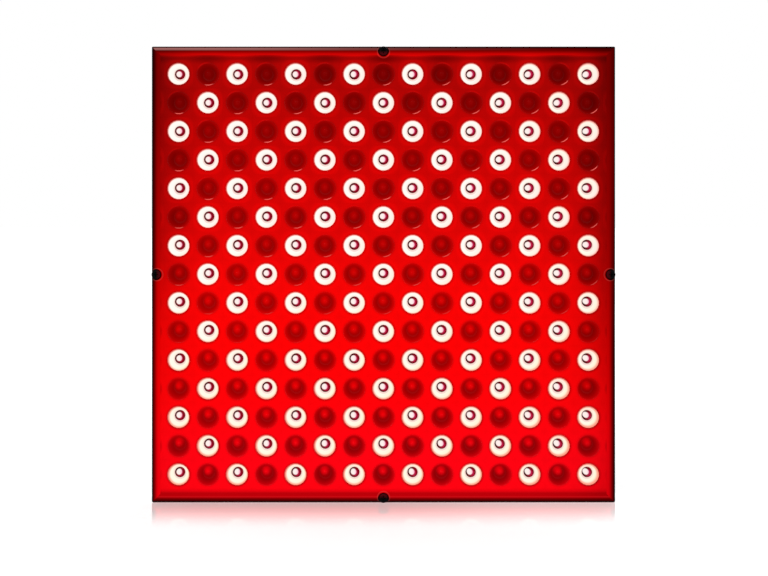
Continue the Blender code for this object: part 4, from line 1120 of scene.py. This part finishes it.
def make_inlet():
    """Inlet in one skin: cavity floor, cavity wall, mouth, flange, body and bottom."""
    sections = [
        (8.3, 4.1, 3.9, 21.0), (8.3, 4.1, 3.9, 32.2), (8.6, 4.4, 4.2, 32.5), (12.6, 7.1, 1.6, 32.5),
        (13.0, 7.5, 1.8, 32.1), (13.0, 7.5, 1.8, 31.3), (10.0, 5.75, 0.8, 31.3), (10.0, 5.75, 0.8, 19.5),
    ]
    inlet = solid("mains_inlet", [stepped(sections, INLET_PLACE, 7)], ["socket_black"])
    fitted(inlet, ["inlet_socket"])
    profile = [(0.0, 30.0), (0.7, 29.9), (1.1, 29.4), (1.2, 28.9), (1.2, 16.5), (0.0, 16.5)]
    for pole, side in (("neutral", -1), ("live", 1)):
        place = (INLET_PLACE[0] + side * PIN_SPREAD, 0.0, INLET_PLACE[1])
        pin = solid(f"pin_{pole}", [turned(profile, place, 20)], ["pin_brass"])
        fitted(pin, [f"inlet_pin_{pole}"])


def make_switch():
    """Switch frame in one skin from the pocket's floor outwards, its two blades, and the rocker."""
    lowest = (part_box("switch_frame")[0][1] - CREST_Y) / MM
    sections = [
        (5.0, 7.8, 0.4, lowest + 6.5), (5.0, 7.8, 0.4, 32.3), (5.2, 8.0, 0.5, 32.5), (7.1, 10.1, 1.0, 32.5),
        (7.5, 10.5, 1.3, 32.1), (7.5, 10.5, 1.3, 31.3), (6.45, 9.4, 0.6, 31.3), (6.45, 9.4, 0.6, lowest + 5.0),
    ]
    shapes = [stepped(sections, SWITCH_PLACE, 5)]
    for side in (-1, 1):
        blade = [(2.4, 0.4, 0.2, lowest), (2.4, 0.4, 0.2, lowest + 5.7)]
        shapes.append((*stepped(blade, (SWITCH_PLACE[0], SWITCH_PLACE[1] + side * BLADE_SPREAD), 2), 1))
    fitted(solid("switch_body", shapes, ["socket_black", "pin_brass"]), ["switch_frame"])
    fitted(make_rocker(), ["switch_rocker"], "switch_rocker")


def rocker_outline():
    """Side view as up and out: a shallow V face with a soft middle, round ends and a flat underside."""
    first, last = math.asin(5.6 / ROCKER_RADIUS), -math.asin(2.5 / ROCKER_RADIUS)
    angle = np.linspace(first, last, 9)
    end = np.stack([ROCKER_RADIUS * np.cos(angle), ROCKER_RADIUS * np.sin(angle)], axis=-1)
    up = np.linspace(-1, 1, 9) * end[0, 0] * 0.94
    out = 4.5 + 1.1 * np.sqrt((up / end[0, 0]) ** 2 + 0.01) * 0.97 - 0.1
    face = np.stack([up, out], axis=-1)
    return np.concatenate([face, end, end[::-1] * [-1, 1]])


def make_rocker():
    """The outline, drawn in a little at its two sides, carried across the switch and tilted about its pivot."""
    outline = rocker_outline()
    rings = []
    half, edge = ROCKER_HALF_WIDTH, 0.25
    for across, shrink in ((-half, edge), (edge - half, 0.0), (half - edge, 0.0), (half, edge)):
        size = 1 - shrink / ROCKER_RADIUS
        up, out = outline[:, 0] * size, outline[:, 1] * size
        rise = up * math.cos(ROCKER_TILT) + out * math.sin(ROCKER_TILT)
        depth = out * math.cos(ROCKER_TILT) - up * math.sin(ROCKER_TILT)
        rings.append(at(SWITCH_PLACE[0] + across, PIVOT_DEPTH + depth, SWITCH_PLACE[1] + rise))
    radius, reach = PIVOT
    profile = [(0.0, -reach), (radius, -reach), (radius, reach), (0.0, reach)]
    pivot = turned(profile, (SWITCH_PLACE[0], PIVOT_DEPTH, SWITCH_PLACE[1]), 16, "across")
    return solid("rocker", [joined_rings(rings), pivot], ["rocker_black"])


# ---- studio


def make_camera():
    """Level camera 0.9 m in front of the crest, with its lens shifted to frame the panel."""
    camera = bpy.data.cameras.new("camera")
    camera.lens, camera.sensor_width = 63.27, 36.0
    camera.shift_x, camera.shift_y = 0.00066, -0.08536
    camera.clip_start, camera.clip_end = 0.01, 50.0
    obj = linked("camera", camera)
    obj.location = (0.0, CREST_Y - 0.9, 0.1873)
    obj.rotation_euler = (math.pi / 2, 0.0, 0.0)
    bpy.context.scene.camera = obj


def make_world():
    """White surroundings: a soft level for lighting, and full white to the camera, gloss and glass."""
    world = bpy.data.worlds.new("studio")
    bpy.context.scene.world = world
    world.use_nodes = True
    sky = Nodes(world.node_tree)
    background = sky.tree.nodes["Background"]
    rays = ("Is Camera Ray", "Is Glossy Ray", "Is Transmission Ray")
    camera, gloss, through = [sky.node("ShaderNodeLightPath", output=ray) for ray in rays]
    shows = camera.math("MAXIMUM", gloss).math("MAXIMUM", through)
    background.inputs["Color"].default_value = (1, 1, 1, 1)
    sky.fill(background.inputs["Strength"], 0.62 + shows * 0.38)


def make_lamp(name, size, power, spot):
    """Square soft lamp that looks from its spot to the panel's middle."""
    lamp = bpy.data.lights.new(name, "AREA")
    lamp.shape = "SQUARE"
    lamp.size = size
    lamp.energy = power
    obj = linked(name, lamp)
    obj.location = spot
    obj.rotation_euler = (Vector((0.0, 0.0, 0.15)) - Vector(spot)).to_track_quat("-Z", "Y").to_euler()


def floor_look():
    """Pale floor: matt white, with a gloss that fades away from the panel and painted faint pink light in front of
    it.
    """
    look = Look("floor_white", 0.0)
    across, forward, _ = look.axes()
    camera_ray = look.node("ShaderNodeLightPath", output="Is Camera Ray")
    far = distance(across, forward).between(0.35, 1.6)
    # Painted light: the floor is brighter at the panel's foot and to the right in front of it.
    foot = abs(forward).between(0.0215, 0.0165)
    in_front = forward.math("LESS_THAN", 0.0) * abs(across).between(0.157, 0.152)
    right = in_front * across.between(-0.03, 0.12) * forward.between(-0.11, -0.03) * 0.2
    pale = camera_ray * (0.36 + far * 0.3 + foot * 0.16 + right)
    red = pale + camera_ray * in_front * (forward.between(-0.045, -0.031) * 0.22 + foot * 0.12)
    look.set(
        Base_Color=(0.86, 0.86, 0.86),
        Emission_Color=look.node("ShaderNodeCombineXYZ", None, {0: red, 1: pale, 2: pale}),
        Emission_Strength=1.0,
        Roughness=0.9,
    )
    mirror = look.node("ShaderNodeBsdfGlossy", None, {"Color": (1, 1, 1), "Roughness": 0.09})
    fade = abs(forward).between(0.094, 0.028) * 0.5
    matt = Value(look, look.shader.outputs[0])
    mixed = look.node("ShaderNodeMixShader", None, {0: fade, 1: matt, 2: mirror})
    look.fill(look.tree.nodes["Material Output"].inputs["Surface"], mixed)
    return look.material


def make_floor():
    """Flat floor out to the horizon."""
    mesh = bpy.data.meshes.new("floor")
    mesh.from_pydata([(-30, -4, 0), (30, -4, 0), (30, 45, 0), (-30, 45, 0)], [], [(0, 1, 2, 3)])
    mesh.materials.append(floor_look())
    floor = linked("floor", mesh)


def make_studio():
    make_camera()
    make_world()
    make_lamp("key", 1.2, 14.0, (-0.9, -1.6, 1.5))
    make_lamp("fill", 1.4, 7.0, (1.3, -1.2, 0.9))
    make_lamp("back_light", 1.2, 12.0, (0.5, 1.7, 1.4))
    make_floor()
    bpy.context.scene.view_settings.view_transform = "Standard"


make_studio()
dress_carried()
fitted(make_cup_plate(), ["front_panel"])
fitted(make_rim(), ["front_panel"])
make_strips()
fitted(make_housing(), ["rear_housing"])
make_front_screws()
make_hangers()
make_inlet()
make_switch()

bpy.context.view_layer.update()
